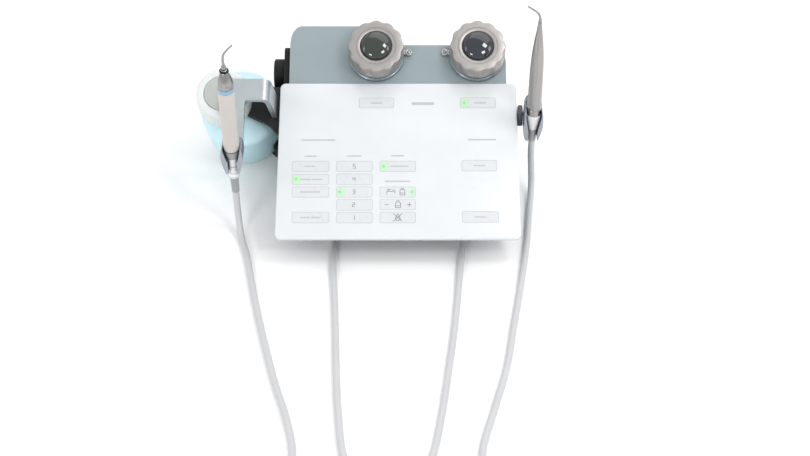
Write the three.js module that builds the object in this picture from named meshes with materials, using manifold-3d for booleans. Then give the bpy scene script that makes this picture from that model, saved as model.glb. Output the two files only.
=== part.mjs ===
// A table-top dental unit: ultrasonic scaler and powder-and-water polisher in one housing.
// Millimetres, +Z up. X runs along the panel, -Y points to the user, Z = 0 is the table.
// Every piece is laid out around the touch panel's front edge: X = 0 on its midline, Y = 0 on the edge.
// The exported group moves that layout so that its origin is the centre of the footprint.

import * as THREE from 'three';
import { mergeVertices } from 'three/addons/utils/BufferGeometryUtils.js';
import Module from 'manifold-3d';

const wasm = await Module();
wasm.setup();

// ---------------------------------------------------------------- driving dimensions

const FOOTPRINT_CENTRE = { x: -29.75, y: 122.7 };
const GAP = 0.3;

const PANEL = { width: 250, length: 180, corner: 6, tilt: 24.3, frontZ: 34, glass: 4.4, carrier: 1.3 };
const DECK = { tilt: 31, y: 193.7, z: 122.4 };
const BODY = { left: -116, right: 115, front: 52, rearLeft: 226, rearRight: 207, stepX: -23.4 };
const WALL = { thickness: 2.5, bottom: 6, rim: 20, rearCorner: 16, edge: 5 };
const FOOT = { radius: 8, height: 5.7, insetX: 18 };

const CHAMBER_X = [-23.4, 84];
const JAR = { radius: 27.5, wall: 2, depth: 60, neck: 23.2, neckTop: 17.2 };
const CAP = { radius: 28.6, flute: 1.9, lobes: 12, low: 10.4, high: 27.2, bore: 24.6, window: 15.9 };

const PUMP = { y: 200, z: 93, plate: 48, drum: 17, shaft: 3.5 };
const BOTTLE = { x: -168.6, y: 190.7, z: 24, foot: 41.2, rim: 43.2, rimAt: 64, wall: 1.6, neckX: -15, neck: 24 };
const BOTTLE_CAP = { low: 82, high: 109, lowRadius: 28.6, highRadius: 27.1, disc: 18.9 };

const SCALER = { x: -168, y: 57 };
const POLISHER = { x: 141, y: 117 };
const FORK = { half: 11.7, front: 8, back: 12, clearance: 0.5 };
const ARM = { tilt: 27, y: 125, z: 129.5, thickness: 5, left: -178, legRight: -158, right: -134 };

const CORD = { radius: 3.5, z: 3.6, sides: 8 };
const COIL = { y: -326, leftX: -71, rightX: 54, inner: 27.5, outer: 49.5, height: 15 };

// ---------------------------------------------------------------- materials

const finish = (color, roughness, metalness) => new THREE.MeshStandardMaterial({ color, roughness, metalness });

const MATERIAL = {
  paint: finish(0xaab4bc, 0.45, 0.1),
  glass: finish(0xf1f5f6, 0.12, 0.0),
  steel: finish(0xb4b2ae, 0.3, 0.9),
  cap: finish(0xafaaa5, 0.42, 0.6),
  smoke: finish(0x20242a, 0.08, 0.0),
  jar: finish(0xb8c4c8, 0.15, 0.0),
  alloy: finish(0xbcc5c8, 0.35, 0.7),
  black: finish(0x1a1a1b, 0.5, 0.0),
  rubber: finish(0x2a2a2c, 0.8, 0.0),
  bottle: finish(0xa0c6d0, 0.2, 0.0),
  frost: finish(0xe1e6e4, 0.35, 0.0),
  stopper: finish(0xbec3be, 0.5, 0.0),
  sleeve: finish(0xe1dad5, 0.4, 0.0),
  ring: finish(0x78a0be, 0.3, 0.2),
  grey: finish(0x9a9a9c, 0.5, 0.0),
  white: finish(0xf0f0f0, 0.4, 0.0),
  cord: finish(0xc8cacc, 0.5, 0.0),
  board: finish(0x2c5b3c, 0.6, 0.0),
  copper: finish(0x8c5a35, 0.5, 0.4),
};

// ---------------------------------------------------------------- solids

// A closed three.js geometry as a manifold, with its faces pointing out.
function solid(geometry) {
  const bare = geometry.clone();
  bare.deleteAttribute('normal');
  bare.deleteAttribute('uv');
  const merged = mergeVertices(bare, 1e-4);
  const vertProperties = new Float32Array(merged.attributes.position.array);
  const triVerts = new Uint32Array(merged.index.array);
  const manifold = new wasm.Manifold(new wasm.Mesh({ numProp: 3, vertProperties, triVerts }));
  if (manifold.volume() > 0) return manifold;
  triVerts.reverse();
  return new wasm.Manifold(new wasm.Mesh({ numProp: 3, vertProperties, triVerts }));
}

function geometryOf(manifold) {
  const mesh = manifold.getMesh();
  const geometry = new THREE.BufferGeometry();
  geometry.setAttribute('position', new THREE.BufferAttribute(new Float32Array(mesh.vertProperties), 3));
  geometry.setIndex(new THREE.BufferAttribute(new Uint32Array(mesh.triVerts), 1));
  geometry.computeVertexNormals();
  return geometry;
}

const join = (...solids) => solids.reduce((a, b) => a.add(b));
const cut = (body, ...tools) => tools.reduce((a, b) => a.subtract(b), body);

function part(parent, name, shape, material) {
  const geometry = shape.isBufferGeometry ? geometryOf(solid(shape)) : geometryOf(shape);
  const mesh = new THREE.Mesh(geometry, MATERIAL[material]);
  mesh.name = name;
  parent.add(mesh);
  return mesh;
}

function frame(parent, position, tilt = 0) {
  const group = new THREE.Group();
  group.position.set(...position);
  group.rotation.x = THREE.MathUtils.degToRad(tilt);
  parent.add(group);
  return group;
}

// The same placing as a matrix, for pieces that are cut in the layout's own axes.
function placing(position, tilt) {
  const turn = new THREE.Matrix4().makeRotationX(THREE.MathUtils.degToRad(tilt));
  return turn.setPosition(...position);
}

// ---------------------------------------------------------------- shapes

function box(x0, x1, y0, y1, z0, z1) {
  const geometry = new THREE.BoxGeometry(x1 - x0, y1 - y0, z1 - z0);
  return geometry.translate((x0 + x1) / 2, (y0 + y1) / 2, (z0 + z1) / 2);
}

// An outline through corner points [x, y, radius], each corner rounded by its radius.
function outline(corners) {
  const shape = new THREE.Shape();
  corners.forEach(([x, y, radius = 0], i) => {
    const [px, py] = corners[(i + corners.length - 1) % corners.length];
    const [nx, ny] = corners[(i + 1) % corners.length];
    const before = Math.hypot(px - x, py - y);
    const after = Math.hypot(nx - x, ny - y);
    const startX = x + ((px - x) / before) * radius;
    const startY = y + ((py - y) / before) * radius;
    if (i === 0) shape.moveTo(startX, startY);
    else shape.lineTo(startX, startY);
    if (radius > 0) {
      shape.quadraticCurveTo(x, y, x + ((nx - x) / after) * radius, y + ((ny - y) / after) * radius);
    }
  });
  shape.closePath();
  return shape;
}

const rectangle = (x0, x1, y0, y1, r) => outline([[x0, y0, r], [x1, y0, r], [x1, y1, r], [x0, y1, r]]);

function circle(radius, x = 0, y = 0) {
  const shape = new THREE.Shape();
  shape.absarc(x, y, radius, 0, Math.PI * 2, false);
  return shape;
}

// A shape drawn in X-Y, raised from z0 to z1.
function raise(shape, z0, z1, curveSegments = 5, bevel = 0) {
  const depth = z1 - z0 - 2 * bevel;
  const options = { depth, curveSegments, bevelEnabled: bevel > 0 };
  Object.assign(options, { bevelThickness: bevel, bevelSize: bevel, bevelOffset: -bevel, bevelSegments: 1 });
  return new THREE.ExtrudeGeometry(shape, options).translate(0, 0, z0 + bevel);
}

// A shape drawn in Y-Z, running from x0 to x1.
function alongX(shape, x0, x1, curveSegments = 5, bevel = 0) {
  const axes = new THREE.Matrix4().set(0, 0, 1, 0, 1, 0, 0, 0, 0, 1, 0, 0, 0, 0, 0, 1);
  return raise(shape, x0, x1, curveSegments, bevel).applyMatrix4(axes);
}

// A shape drawn in X-Z, running from y0 to y1.
function alongY(shape, y0, y1, curveSegments = 5) {
  const axes = new THREE.Matrix4().set(1, 0, 0, 0, 0, 0, -1, 0, 0, 1, 0, 0, 0, 0, 0, 1);
  return raise(shape, -y1, -y0, curveSegments).applyMatrix4(axes);
}

// A profile of [radius, z] points turned around the Z axis.
function turned(profile, segments = 20, x = 0, y = 0) {
  const points = profile.map(([radius, z]) => new THREE.Vector2(radius, z));
  return new THREE.LatheGeometry(points, segments).rotateX(Math.PI / 2).translate(x, y, 0);
}

// A closed ring of rectangular section.
function ring(inner, outer, z0, z1, segments = 20, x = 0, y = 0) {
  return turned([[inner, z0], [outer, z0], [outer, z1], [inner, z1], [inner, z0]], segments, x, y);
}

const disc = (radius, z0, z1, segments = 20, x = 0, y = 0) =>
  turned([[0, z0], [radius, z0], [radius, z1], [0, z1]], segments, x, y);

// A round bar whose axis runs along X or along Y.
const barX = (radius, x0, x1, y, z, segments = 14) =>
  disc(radius, x0, x1, segments).rotateY(Math.PI / 2).translate(0, y, z);
const barY = (radius, y0, y1, x, z, segments = 14) =>
  disc(radius, y0, y1, segments).rotateX(-Math.PI / 2).translate(x, 0, z);

function tube(points, radius, sides, steps) {
  const path = new THREE.CatmullRomCurve3(points.map((p) => new THREE.Vector3(...p)), false, 'centripetal');
  const section = new THREE.Shape();
  for (let i = 0; i < sides; i++) {
    const angle = ((i + 0.5) / sides) * Math.PI * 2;
    const call = i === 0 ? 'moveTo' : 'lineTo';
    section[call](radius * Math.cos(angle), radius * Math.sin(angle));
  }
  section.closePath();
  return new THREE.ExtrudeGeometry(section, { steps, extrudePath: path, bevelEnabled: false });
}

// ---------------------------------------------------------------- panel and housing

const unit = new THREE.Group();
const tan = (degrees) => Math.tan(THREE.MathUtils.degToRad(degrees));
const cos = (degrees) => Math.cos(THREE.MathUtils.degToRad(degrees));
const sin = (degrees) => Math.sin(THREE.MathUtils.degToRad(degrees));

const PANEL_DEPTH = PANEL.glass + GAP + PANEL.carrier;
const deckZ = (y) => DECK.z + (y - DECK.y) * tan(DECK.tilt);
const underPanelZ = (y) => PANEL.frontZ - (PANEL_DEPTH + GAP) / cos(PANEL.tilt) + y * tan(PANEL.tilt);

function makePanel() {
  const slope = frame(unit, [0, 0, PANEL.frontZ], PANEL.tilt);
  const half = PANEL.width / 2;
  const sheet = rectangle(-half, half, 0, PANEL.length, PANEL.corner);
  part(slope, 'touch_panel_glass', raise(sheet, -PANEL.glass, 0, 5, 0.8), 'glass');
  const inset = 1.5;
  const tray = rectangle(-half + inset, half - inset, inset, PANEL.length - inset, PANEL.corner);
  const carrierTop = -PANEL.glass - GAP;
  part(slope, 'panel_carrier', raise(tray, carrierTop - PANEL.carrier, carrierTop), 'steel');
  part(slope, 'control_board', box(-90, 90, 64, 140, carrierTop - 4.2, carrierTop - 2.6), 'board');
}

// The housing's side view: front wall, slope under the panel, step behind the panel, deck, rear wall.
function sideView(rear, inset) {
  const front = BODY.front + inset;
  const back = rear - inset;
  const stepY = PANEL.length * cos(PANEL.tilt) + 2 + inset;
  const slopeEnd = stepY + 1.3;
  const under = (y) => underPanelZ(y) - inset / cos(PANEL.tilt);
  const deck = (y) => deckZ(y) - inset / cos(DECK.tilt);
  const bottom = WALL.bottom - inset;
  return outline([
    [front, bottom],
    [back, bottom],
    [back, deck(back), Math.max(WALL.edge - inset, 1)],
    [stepY, deck(stepY)],
    [slopeEnd, under(slopeEnd)],
    [front, under(front)],
  ]);
}

// The housing's plan: the left part is deeper than the right part, behind which the jars stand out.
function planView(inset) {
  const r = WALL.rearCorner - inset;
  return outline([
    [BODY.left + inset, BODY.front + inset, 8 - inset],
    [BODY.right - inset, BODY.front + inset, 8 - inset],
    [BODY.right - inset, BODY.rearRight - inset, r],
    [BODY.stepX - inset, BODY.rearRight - inset, 2],
    [BODY.stepX - inset, BODY.rearLeft - inset, 6],
    [BODY.left + inset, BODY.rearLeft - inset, r],
  ]);
}

function housingBlock(inset) {
  const left = solid(alongX(sideView(BODY.rearLeft, inset), BODY.left, BODY.stepX));
  const right = solid(alongX(sideView(BODY.rearRight, inset), BODY.stepX - 1, BODY.right));
  return join(left, right).intersect(solid(raise(planView(inset), 0, 200, 4)));
}

const REAR_PANEL = { x0: -99, x1: -55.5, z0: 20, z1: 108 };
const REAR_SOCKETS = [['air_inlet', -88, 92], ['water_inlet', -67, 92], ['pedal_socket', -65, 60]];

function makeHousing() {
  const outer = housingBlock(0);
  let shell = outer.subtract(housingBlock(WALL.thickness));
  shell = cut(shell, solid(box(-150, 150, 0, 260, -5, WALL.bottom)));
  for (const x of CHAMBER_X) {
    const place = placing([x, DECK.y, DECK.z], DECK.tilt);
    const pocket = solid(disc(JAR.radius + 3.4, -JAR.depth - 6, 0, 28).applyMatrix4(place)).intersect(outer);
    const room = solid(disc(JAR.radius + 1.1, -JAR.depth - 2, 30, 28).applyMatrix4(place));
    shell = cut(join(shell, pocket), room);
  }
  const slope = placing([0, 0, PANEL.frontZ], PANEL.tilt);
  const boardWindow = solid(box(-93, 93, 61, 143, -30, 5).applyMatrix4(slope));
  const { x0, x1, z0, z1 } = REAR_PANEL;
  const rearWindow = solid(box(x0, x1, BODY.rearLeft - 8, BODY.rearLeft + 5, z0, z1));
  const shaftHole = solid(barX(PUMP.shaft + 1, BODY.left - 5, BODY.left + 8, PUMP.y, PUMP.z));
  shell = cut(shell, boardWindow, rearWindow, shaftHole);
  for (const x of [-68, 66]) {
    shell = cut(shell, solid(barY(5.2, BODY.front - 5, BODY.front + 6, x, 14)));
  }
  part(unit, 'upper_housing', shell, 'paint');
  part(unit, 'base_tray', makeTray(), 'paint');
  const plate = box(x0 + GAP, x1 - GAP, BODY.rearLeft - 2.2, BODY.rearLeft - 0.4, z0 + GAP, z1 - GAP);
  const holes = [
    solid(box(-98, -70, BODY.rearLeft - 8, BODY.rearLeft + 5, 24, 45)),
    solid(box(-92.5, -75.5, BODY.rearLeft - 8, BODY.rearLeft + 5, 52.5, 67.5)),
  ];
  const sockets = REAR_SOCKETS.map(([, x, z]) => solid(barY(6.3, BODY.rearLeft - 8, BODY.rearLeft + 5, x, z)));
  part(unit, 'rear_plate', cut(solid(plate), ...holes, ...sockets), 'steel');
}

function makeTray() {
  const inset = WALL.thickness + GAP;
  const floor = WALL.bottom + GAP;
  const filled = solid(raise(planView(inset), floor, WALL.rim, 4));
  const hollow = solid(raise(planView(inset + 1.6), floor + 2, WALL.rim + 5, 4));
  const glandHoles = [-68, 66].map((x) => solid(barY(5.2, BODY.front, BODY.front + 9, x, 14)));
  return cut(filled, hollow, ...glandHoles);
}

function makeFeet() {
  const spots = [
    ['foot_front_left', BODY.left + FOOT.insetX, 70],
    ['foot_front_right', BODY.right - FOOT.insetX, 70],
    ['foot_rear_left', BODY.left + FOOT.insetX, 204],
    ['foot_rear_right', BODY.right - FOOT.insetX, 188],
  ];
  for (const [name, x, y] of spots) {
    const profile = [[0, 0], [FOOT.radius - 1.5, 0], [FOOT.radius, FOOT.height], [0, FOOT.height]];
    part(unit, name, turned(profile, 14, x, y), 'rubber');
  }
}

// ---------------------------------------------------------------- inside and rear

function makeInternals() {
  const floor = WALL.bottom + GAP + 2 + GAP;
  part(unit, 'power_transformer', ring(11, 27, floor, floor + 22, 28, 74, 110), 'copper');
  const fins = [0, 1, 2, 3, 4].map((i) => solid(box(-40 + i * 14, -34 + i * 14, 96, 140, floor + 11, floor + 24)));
  const sink = join(solid(box(-42, 26, 94, 142, floor + 8, floor + 12)), ...fins);
  const board = solid(box(-46, 30, 88, 148, floor + 3, floor + 4.6));
  const post = solid(box(-20, 4, 108, 128, floor + 4, floor + 9));
  part(unit, 'generator_board', join(board, post, sink), 'board');
  const coils = [-92, -76, -60].map((x) => solid(disc(6.5, floor + 15, floor + 38, 20, x, 150)));
  part(unit, 'valve_block', join(solid(box(-102, -50, 138, 162, floor, floor + 16)), ...coils), 'alloy');
  const bowl = solid(disc(13, floor + 10, floor + 36, 24, 62, 168));
  const stem = solid(disc(7, floor, floor + 46, 24, 62, 168));
  part(unit, 'air_regulator', join(bowl, stem), 'black');
  const motor = solid(barX(15, BODY.left + 4, BODY.left + 38, PUMP.y, PUMP.z));
  const socket = solid(barX(PUMP.shaft + 0.4, BODY.left, BODY.left + 24, PUMP.y, PUMP.z));
  part(unit, 'pump_motor', cut(motor, socket), 'steel');
}

function makeRearFittings() {
  const y = BODY.rearLeft;
  const shell = solid(box(-97.6, -70.4, y - 14, y + 0.6, 24.4, 44.6));
  const socket = outline([[-94, 28], [-74, 28], [-74, 38], [-77, 41], [-91, 41], [-94, 38]]);
  const well = solid(alongY(socket, y - 11, y + 2));
  const pins = [-89, -84, -79].map((x) => solid(box(x - 1, x + 1, y - 13, y - 5, 32, 37)));
  part(unit, 'mains_inlet', join(cut(shell, well), ...pins), 'black');
  const side = outline([[y - 5, 54.8], [y + 0.8, 54.8], [y - 0.6, 60], [y + 3, 65.2], [y - 5, 65.2]]);
  part(unit, 'mains_switch', alongX(side, -91, -77), 'rubber');
  for (const [name, x, z] of REAR_SOCKETS) {
    const wide = name === 'pedal_socket';
    const flange = solid(barY(8.2, y - 0.1, y + 2.4, x, z));
    const nose = solid(barY(wide ? 6 : 4, y - 9, y + (wide ? 5 : 13), x, z));
    const bore = solid(barY(wide ? 4.6 : 2.4, y - 4, y + 20, x, z));
    part(unit, name, cut(join(flange, nose), bore), wide ? 'black' : 'steel');
  }
}

// ---------------------------------------------------------------- powder chambers

function scalloped(radius, flute, lobes) {
  const points = [];
  const steps = lobes * 4;
  for (let i = 0; i < steps; i++) {
    const angle = (i / steps) * Math.PI * 2;
    const dip = Math.pow(Math.abs(Math.sin((angle * lobes) / 2)), 1.6);
    const r = radius - flute * dip;
    points.push(new THREE.Vector2(r * Math.cos(angle), r * Math.sin(angle)));
  }
  return new THREE.Shape(points);
}

function makeChamber(side, x, earAt) {
  const deck = frame(unit, [x, DECK.y, DECK.z], DECK.tilt);
  const inner = JAR.radius - JAR.wall;
  const jar = [
    [0, -JAR.depth],
    [JAR.radius - 5, -JAR.depth],
    [JAR.radius, -JAR.depth + 6],
    [JAR.radius, -3.5],
    [JAR.neck, -0.8],
    [JAR.neck, JAR.neckTop],
    [JAR.neck - 2.6, JAR.neckTop],
    [JAR.neck - 2.6, -2],
    [inner, -5.5],
    [inner, -JAR.depth + 7],
    [inner - 5, -JAR.depth + 2.2],
    [0, -JAR.depth + 2.2],
  ];
  part(deck, `powder_jar_${side}`, turned(jar, 24), 'jar');
  const flange = solid(ring(JAR.neck + 0.6, 30, GAP, 4, 24));
  const upstand = solid(ring(JAR.neck + 0.8, 27.6, 3, CAP.low - 0.4, 24));
  const reach = [earAt * 27, earAt * 34].sort((a, b) => a - b);
  const lug = solid(raise(rectangle(...reach, -2.4, 2.4, 0), 1, 3.6));
  const eye = solid(disc(3.8, 0.8, 3.8, 12, earAt * 34.4, 0));
  const eyeHole = solid(disc(1.7, -1, 6, 10, earAt * 34.4, 0));
  part(deck, `chamber_collar_${side}`, cut(join(flange, upstand, lug, eye), eyeHole), 'paint');

  const knob = solid(raise(scalloped(CAP.radius, CAP.flute, CAP.lobes), CAP.low, CAP.high, 1, 1.2));
  const hollow = solid(disc(CAP.bore, CAP.low - 1, CAP.high - 4.6, 24));
  const window = solid(disc(CAP.window, CAP.low, CAP.high + 2, 24));
  part(deck, `cap_ring_${side}`, cut(knob, hollow, window), 'cap');
  const rim = CAP.high - 4.6 - GAP;
  const lens = [[0, rim - 1.6], [19, rim - 1.6], [19, rim], [15.5, rim], [15.5, CAP.high + 0.4]];
  for (let i = 1; i <= 4; i++) {
    const angle = (i / 4) * (Math.PI / 2);
    lens.push([15.5 * Math.cos(angle), CAP.high + 0.4 + 5.4 * Math.sin(angle)]);
  }
  lens[lens.length - 1][0] = 0;
  part(deck, `cap_window_${side}`, turned(lens, 24), 'smoke');
  part(deck, `cap_seal_${side}`, ring(JAR.neck - 3, CAP.bore - 0.6, JAR.neckTop + GAP, rim - 1.6 - GAP, 24), 'rubber');
}

// ---------------------------------------------------------------- water pump and bottle

function makePump() {
  const side = frame(unit, [0, PUMP.y, PUMP.z], DECK.tilt);
  const half = PUMP.plate / 2;
  const wallX = BODY.left - GAP;
  const plateX = wallX - 6;
  const plate = solid(alongX(rectangle(-half, half, -half, half, 8), plateX, wallX));
  part(side, 'pump_plate', cut(plate, solid(barX(PUMP.shaft + 1, plateX - 2, wallX + 2, 0, 0))), 'black');
  const coverX = plateX - GAP;
  const cup = solid(alongX(circle(PUMP.drum), coverX - 11.6, coverX, 10, 1.6));
  const room = solid(barX(PUMP.drum - 2, coverX - 9.6, coverX + 2, 0, 0, 28));
  part(side, 'pump_cover', cut(cup, room), 'black');
  const lobes = solid(raise(scalloped(12.4, 2.2, 3), coverX - 9, coverX - 1, 1).rotateY(Math.PI / 2));
  const shaft = solid(barX(PUMP.shaft, coverX - 8, BODY.left + 22, 0, 0));
  part(side, 'pump_rotor', join(lobes, shaft), 'grey');
}

// An oblique stack of circles [radius, height, shift along X], closed at both ends.
function lofted(rings, segments = 24) {
  const positions = [];
  const index = [];
  rings.forEach(([radius, z, shift]) => {
    for (let i = 0; i < segments; i++) {
      const angle = (i / segments) * Math.PI * 2;
      positions.push(shift + radius * Math.cos(angle), radius * Math.sin(angle), z);
    }
  });
  for (let r = 0; r + 1 < rings.length; r++) {
    for (let i = 0; i < segments; i++) {
      const j = (i + 1) % segments;
      const [a, b, c, d] = [r * segments + i, r * segments + j, (r + 1) * segments + j, (r + 1) * segments + i];
      index.push(a, b, c, a, c, d);
    }
  }
  const last = (rings.length - 1) * segments;
  for (let i = 1; i + 1 < segments; i++) {
    index.push(0, i + 1, i, last, last + i, last + i + 1);
  }
  const geometry = new THREE.BufferGeometry();
  geometry.setAttribute('position', new THREE.Float32BufferAttribute(positions, 3));
  geometry.setIndex(index);
  return geometry;
}

function bottleRings(inset) {
  return [
    [BOTTLE.foot - 5 - inset, inset, 0],
    [BOTTLE.foot - inset, 5 + inset, 0],
    [BOTTLE.rim - inset, BOTTLE.rimAt, 0],
    [BOTTLE.rim - 3 - inset, BOTTLE.rimAt + 4, -1],
    [BOTTLE.neck + 2 - inset, BOTTLE.rimAt + 9, BOTTLE.neckX],
    [BOTTLE.neck - inset, BOTTLE.rimAt + 11, BOTTLE.neckX],
  ];
}

function makeBottle() {
  const tilted = frame(unit, [BOTTLE.x, BOTTLE.y, BOTTLE.z], DECK.tilt);
  const top = BOTTLE_CAP.low + 14;
  const outer = solid(lofted([...bottleRings(0), [BOTTLE.neck, top, BOTTLE.neckX]]));
  const inner = solid(lofted([...bottleRings(BOTTLE.wall), [BOTTLE.neck - BOTTLE.wall, top + 2, BOTTLE.neckX]]));
  part(tilted, 'water_bottle', cut(outer, inner), 'bottle');

  const { low, high, lowRadius, highRadius } = BOTTLE_CAP;
  const dome = [[0, low], [lowRadius, low], [highRadius + 0.8, high - 3], [highRadius - 2, high], [0, high]];
  const shell = solid(turned(dome, 24, BOTTLE.neckX, 0));
  const room = solid(disc(BOTTLE.neck + 1, low - 1, high - 4, 24, BOTTLE.neckX, 0));
  const vent = solid(disc(BOTTLE_CAP.disc + GAP, high - 1.6, high + 3, 24, BOTTLE.neckX, 0));
  const stem = solid(disc(4.5, high - 6, high + 3, 20, BOTTLE.neckX, 0));
  part(tilted, 'bottle_cap', cut(shell, room, vent, stem), 'frost');
  const button = solid(disc(BOTTLE_CAP.disc, high - 1.3, high + 0.6, 24, BOTTLE.neckX, 0));
  const plug = solid(disc(4.2, high - 9, high, 20, BOTTLE.neckX, 0));
  part(tilted, 'cap_stopper', join(button, plug), 'stopper');

  const edge = BODY.left - GAP - BOTTLE.x;
  const claw = outline([
    [edge, -38, 0],
    [40, -35, 4],
    [33, -25, 6],
    [8, -13, 3],
    [8, 12, 3],
    [24, 18, 6],
    [edge, 18, 0],
  ]);
  const grip = solid(disc(BOTTLE.neck + 1.2, 60, 100, 24, BOTTLE.neckX, 0));
  const slot = solid(box(-60, BOTTLE.neckX, -BOTTLE.neck - 1.2, BOTTLE.neck + 1.2, 60, 100));
  const plate = solid(raise(claw, BOTTLE.rimAt + 11.4, BOTTLE.rimAt + 17.4));
  const toBottle = placing([BOTTLE.x, BOTTLE.y, BOTTLE.z], DECK.tilt).invert();
  const toPanel = placing([0, 0, PANEL.frontZ], PANEL.tilt);
  const underPanel = box(-PANEL.width / 2 - 1, 0, -5, PANEL.length + 5, -PANEL_DEPTH - 1, 10);
  const panelRoom = solid(underPanel.applyMatrix4(toPanel).applyMatrix4(toBottle));
  part(tilted, 'bottle_clamp', cut(plate, grip, slot, panelRoom), 'black');

  const arc = new THREE.Shape();
  arc.absarc(0, 0, 46.5, -0.75, 1.2, false);
  arc.absarc(0, 0, BOTTLE.rim + 0.8, 1.2, -0.75, true);
  const wall = solid(raise(arc, 4, 26, 7));
  const ledgeShape = new THREE.Shape();
  ledgeShape.absarc(0, 0, 46.5, -0.75, 1.2, false);
  ledgeShape.absarc(0, 0, 26, 1.2, -0.75, true);
  const ledge = solid(raise(ledgeShape, -3.4, -0.5, 7));
  const rib = solid(raise(rectangle(44.6, edge, -16, 20, 2), -3.4, 26));
  const lift = solid(ring(43.8, 46.5, -3.4, 6, 30)).intersect(solid(raise(arc, -10, 30, 7)));
  part(tilted, 'bottle_cradle', join(wall, ledge, rib, lift), 'black');
}

// ---------------------------------------------------------------- handpieces and their holders

const SCALER_LOWER = [[6, 70.3], [6, 76], [4.2, 76.4], [4.2, 94.5], [5.2, 94.8], [7.5, 104.7], [8.2, 108], [8.2, 125]];
const POLISHER_LOWER = [[4.2, 70], [4.2, 84.7], [4.2, 85], [7.7, 104.6], [7.5, 109], [7.4, 125]];

// The two-pronged fork around a handpiece's lower end, open to the front.
function forkSolid(at, lower, z0, z1) {
  const half = FORK.half;
  const front = outline([
    [at.x - half, z1, 2],
    [at.x - half, z0 + 16, 4],
    [at.x - half + 4.2, z0, 1],
    [at.x + half - 4.2, z0, 1],
    [at.x + half, z0 + 16, 4],
    [at.x + half, z1, 2],
  ]);
  const block = solid(alongY(front, at.y - FORK.front, at.y + FORK.back));
  const start = [[0, z0 - 20], [lower[0][0], z0 - 20]];
  const grown = [...start, ...lower, [lower[lower.length - 1][0], 200], [0, 200]]
    .map(([radius, z]) => [radius > 0 ? radius + FORK.clearance : 0, z]);
  const bore = solid(turned(grown, 20, at.x, at.y));
  const right = grown.map(([radius, z]) => [at.x + radius, z]);
  const left = grown.slice(1, -1).reverse().map(([radius, z]) => [at.x - radius, z]);
  const mouth = solid(alongY(outline([...right, ...left]), at.y - FORK.front - 30, at.y));
  return cut(block, bore, mouth);
}

function makeScalerHolder() {
  const plane = placing([0, ARM.y, ARM.z], ARM.tilt);
  const seven = outline([
    [ARM.left, -72, 1],
    [ARM.legRight, -72, 1],
    [ARM.legRight, -12, 4],
    [ARM.right, -12, 1],
    [ARM.right, 12, 1],
    [ARM.left, 12, 8],
  ]);
  const top = solid(raise(seven, -ARM.thickness, 0).applyMatrix4(plane));
  const web = outline([[112, 119], [136, 131], [151, 95.9], [122, 78.5]]);
  const lean = new THREE.Matrix4().makeShear(0, 0, 0, 0, -0.115, 0);
  const sheet = alongX(web, -ARM.thickness, 0).translate(0, 0, -130);
  const side = solid(sheet.applyMatrix4(lean).translate(ARM.right + 1.6, 0, 130));
  const fork = forkSolid(SCALER, SCALER_LOWER, 78, 112);
  const clear = solid(turned([[0, 60], [8.8, 60], [8.8, 240], [0, 240]], 20, SCALER.x, SCALER.y));
  const reach = solid(box(ARM.left - 5, ARM.legRight + 5, 10, SCALER.y + 4, 60, 200));
  const leg = cut(top, clear, reach);
  part(unit, 'scaler_holder', join(leg, side, fork), 'alloy');
}

function makePolisherHolder() {
  const outside = BODY.right + GAP;
  const foot = solid(box(outside, 131, 112, 140, 58, 70));
  const post = solid(box(125.8, 131, 114, 138, 58, 108));
  part(unit, 'holder_block', join(foot, post), 'black');
  const fork = forkSolid(POLISHER, POLISHER_LOWER, 74, 112);
  const back = outline([[131.3, 84, 2], [150, 84, 6], [150, 112, 3], [146, 120, 4], [135, 120, 4], [131.3, 112, 3]]);
  const bridge = solid(alongY(back, 124, POLISHER.y + FORK.back + 1));
  const clear = solid(turned([[0, 60], [8.3, 60], [8.3, 240], [0, 240]], 20, POLISHER.x, POLISHER.y));
  const shaved = cut(fork, solid(box(120, 131.3, 100, 140, 60, 130)));
  part(unit, 'polisher_holder', join(shaved, cut(bridge, clear)), 'alloy');
}

function makeScaler() {
  const at = [SCALER.x, SCALER.y];
  const lathe = (name, profile, material, segments = 16) =>
    part(unit, name, turned([[0, profile[0][1]], ...profile, [0, profile[profile.length - 1][1]]], segments, ...at),
      material);
  lathe('scaler_strain_relief', [[3.9, 50], [4.4, 70]], 'grey', 16);
  lathe('scaler_connector', [[6, 70.3], [6, 76], [4.2, 76.4], [4.2, 94.5]], 'white');
  lathe('scaler_swivel', [[5.2, 94.8], [7.5, 104.7]], 'grey');
  lathe('scaler_sleeve', [[7.5, 105], [8.2, 108], [8.2, 176.7]], 'sleeve');
  lathe('scaler_light_ring', [[8.25, 177], [8.25, 182.7]], 'ring');
  const cone = [[8.1, 183], [7.9, 188], [6.6, 194], [3.9, 201], [4.6, 201.4], [4.6, 203.4], [2.6, 204.2]];
  lathe('scaler_nose', cone, 'steel');
  const root = solid(turned([[0, 204.5], [2.4, 204.5], [2.1, 207], [1.2, 211], [0, 211]], 16, ...at));
  const bend = [[-168, 57, 206], [-168.3, 57, 213], [-167.7, 57, 219.5], [-165, 57, 224.6], [-158.3, 57, 232.4]];
  part(unit, 'scaler_tip', join(root, solid(tube(bend, 0.95, 6, 10))), 'steel');
}

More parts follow.
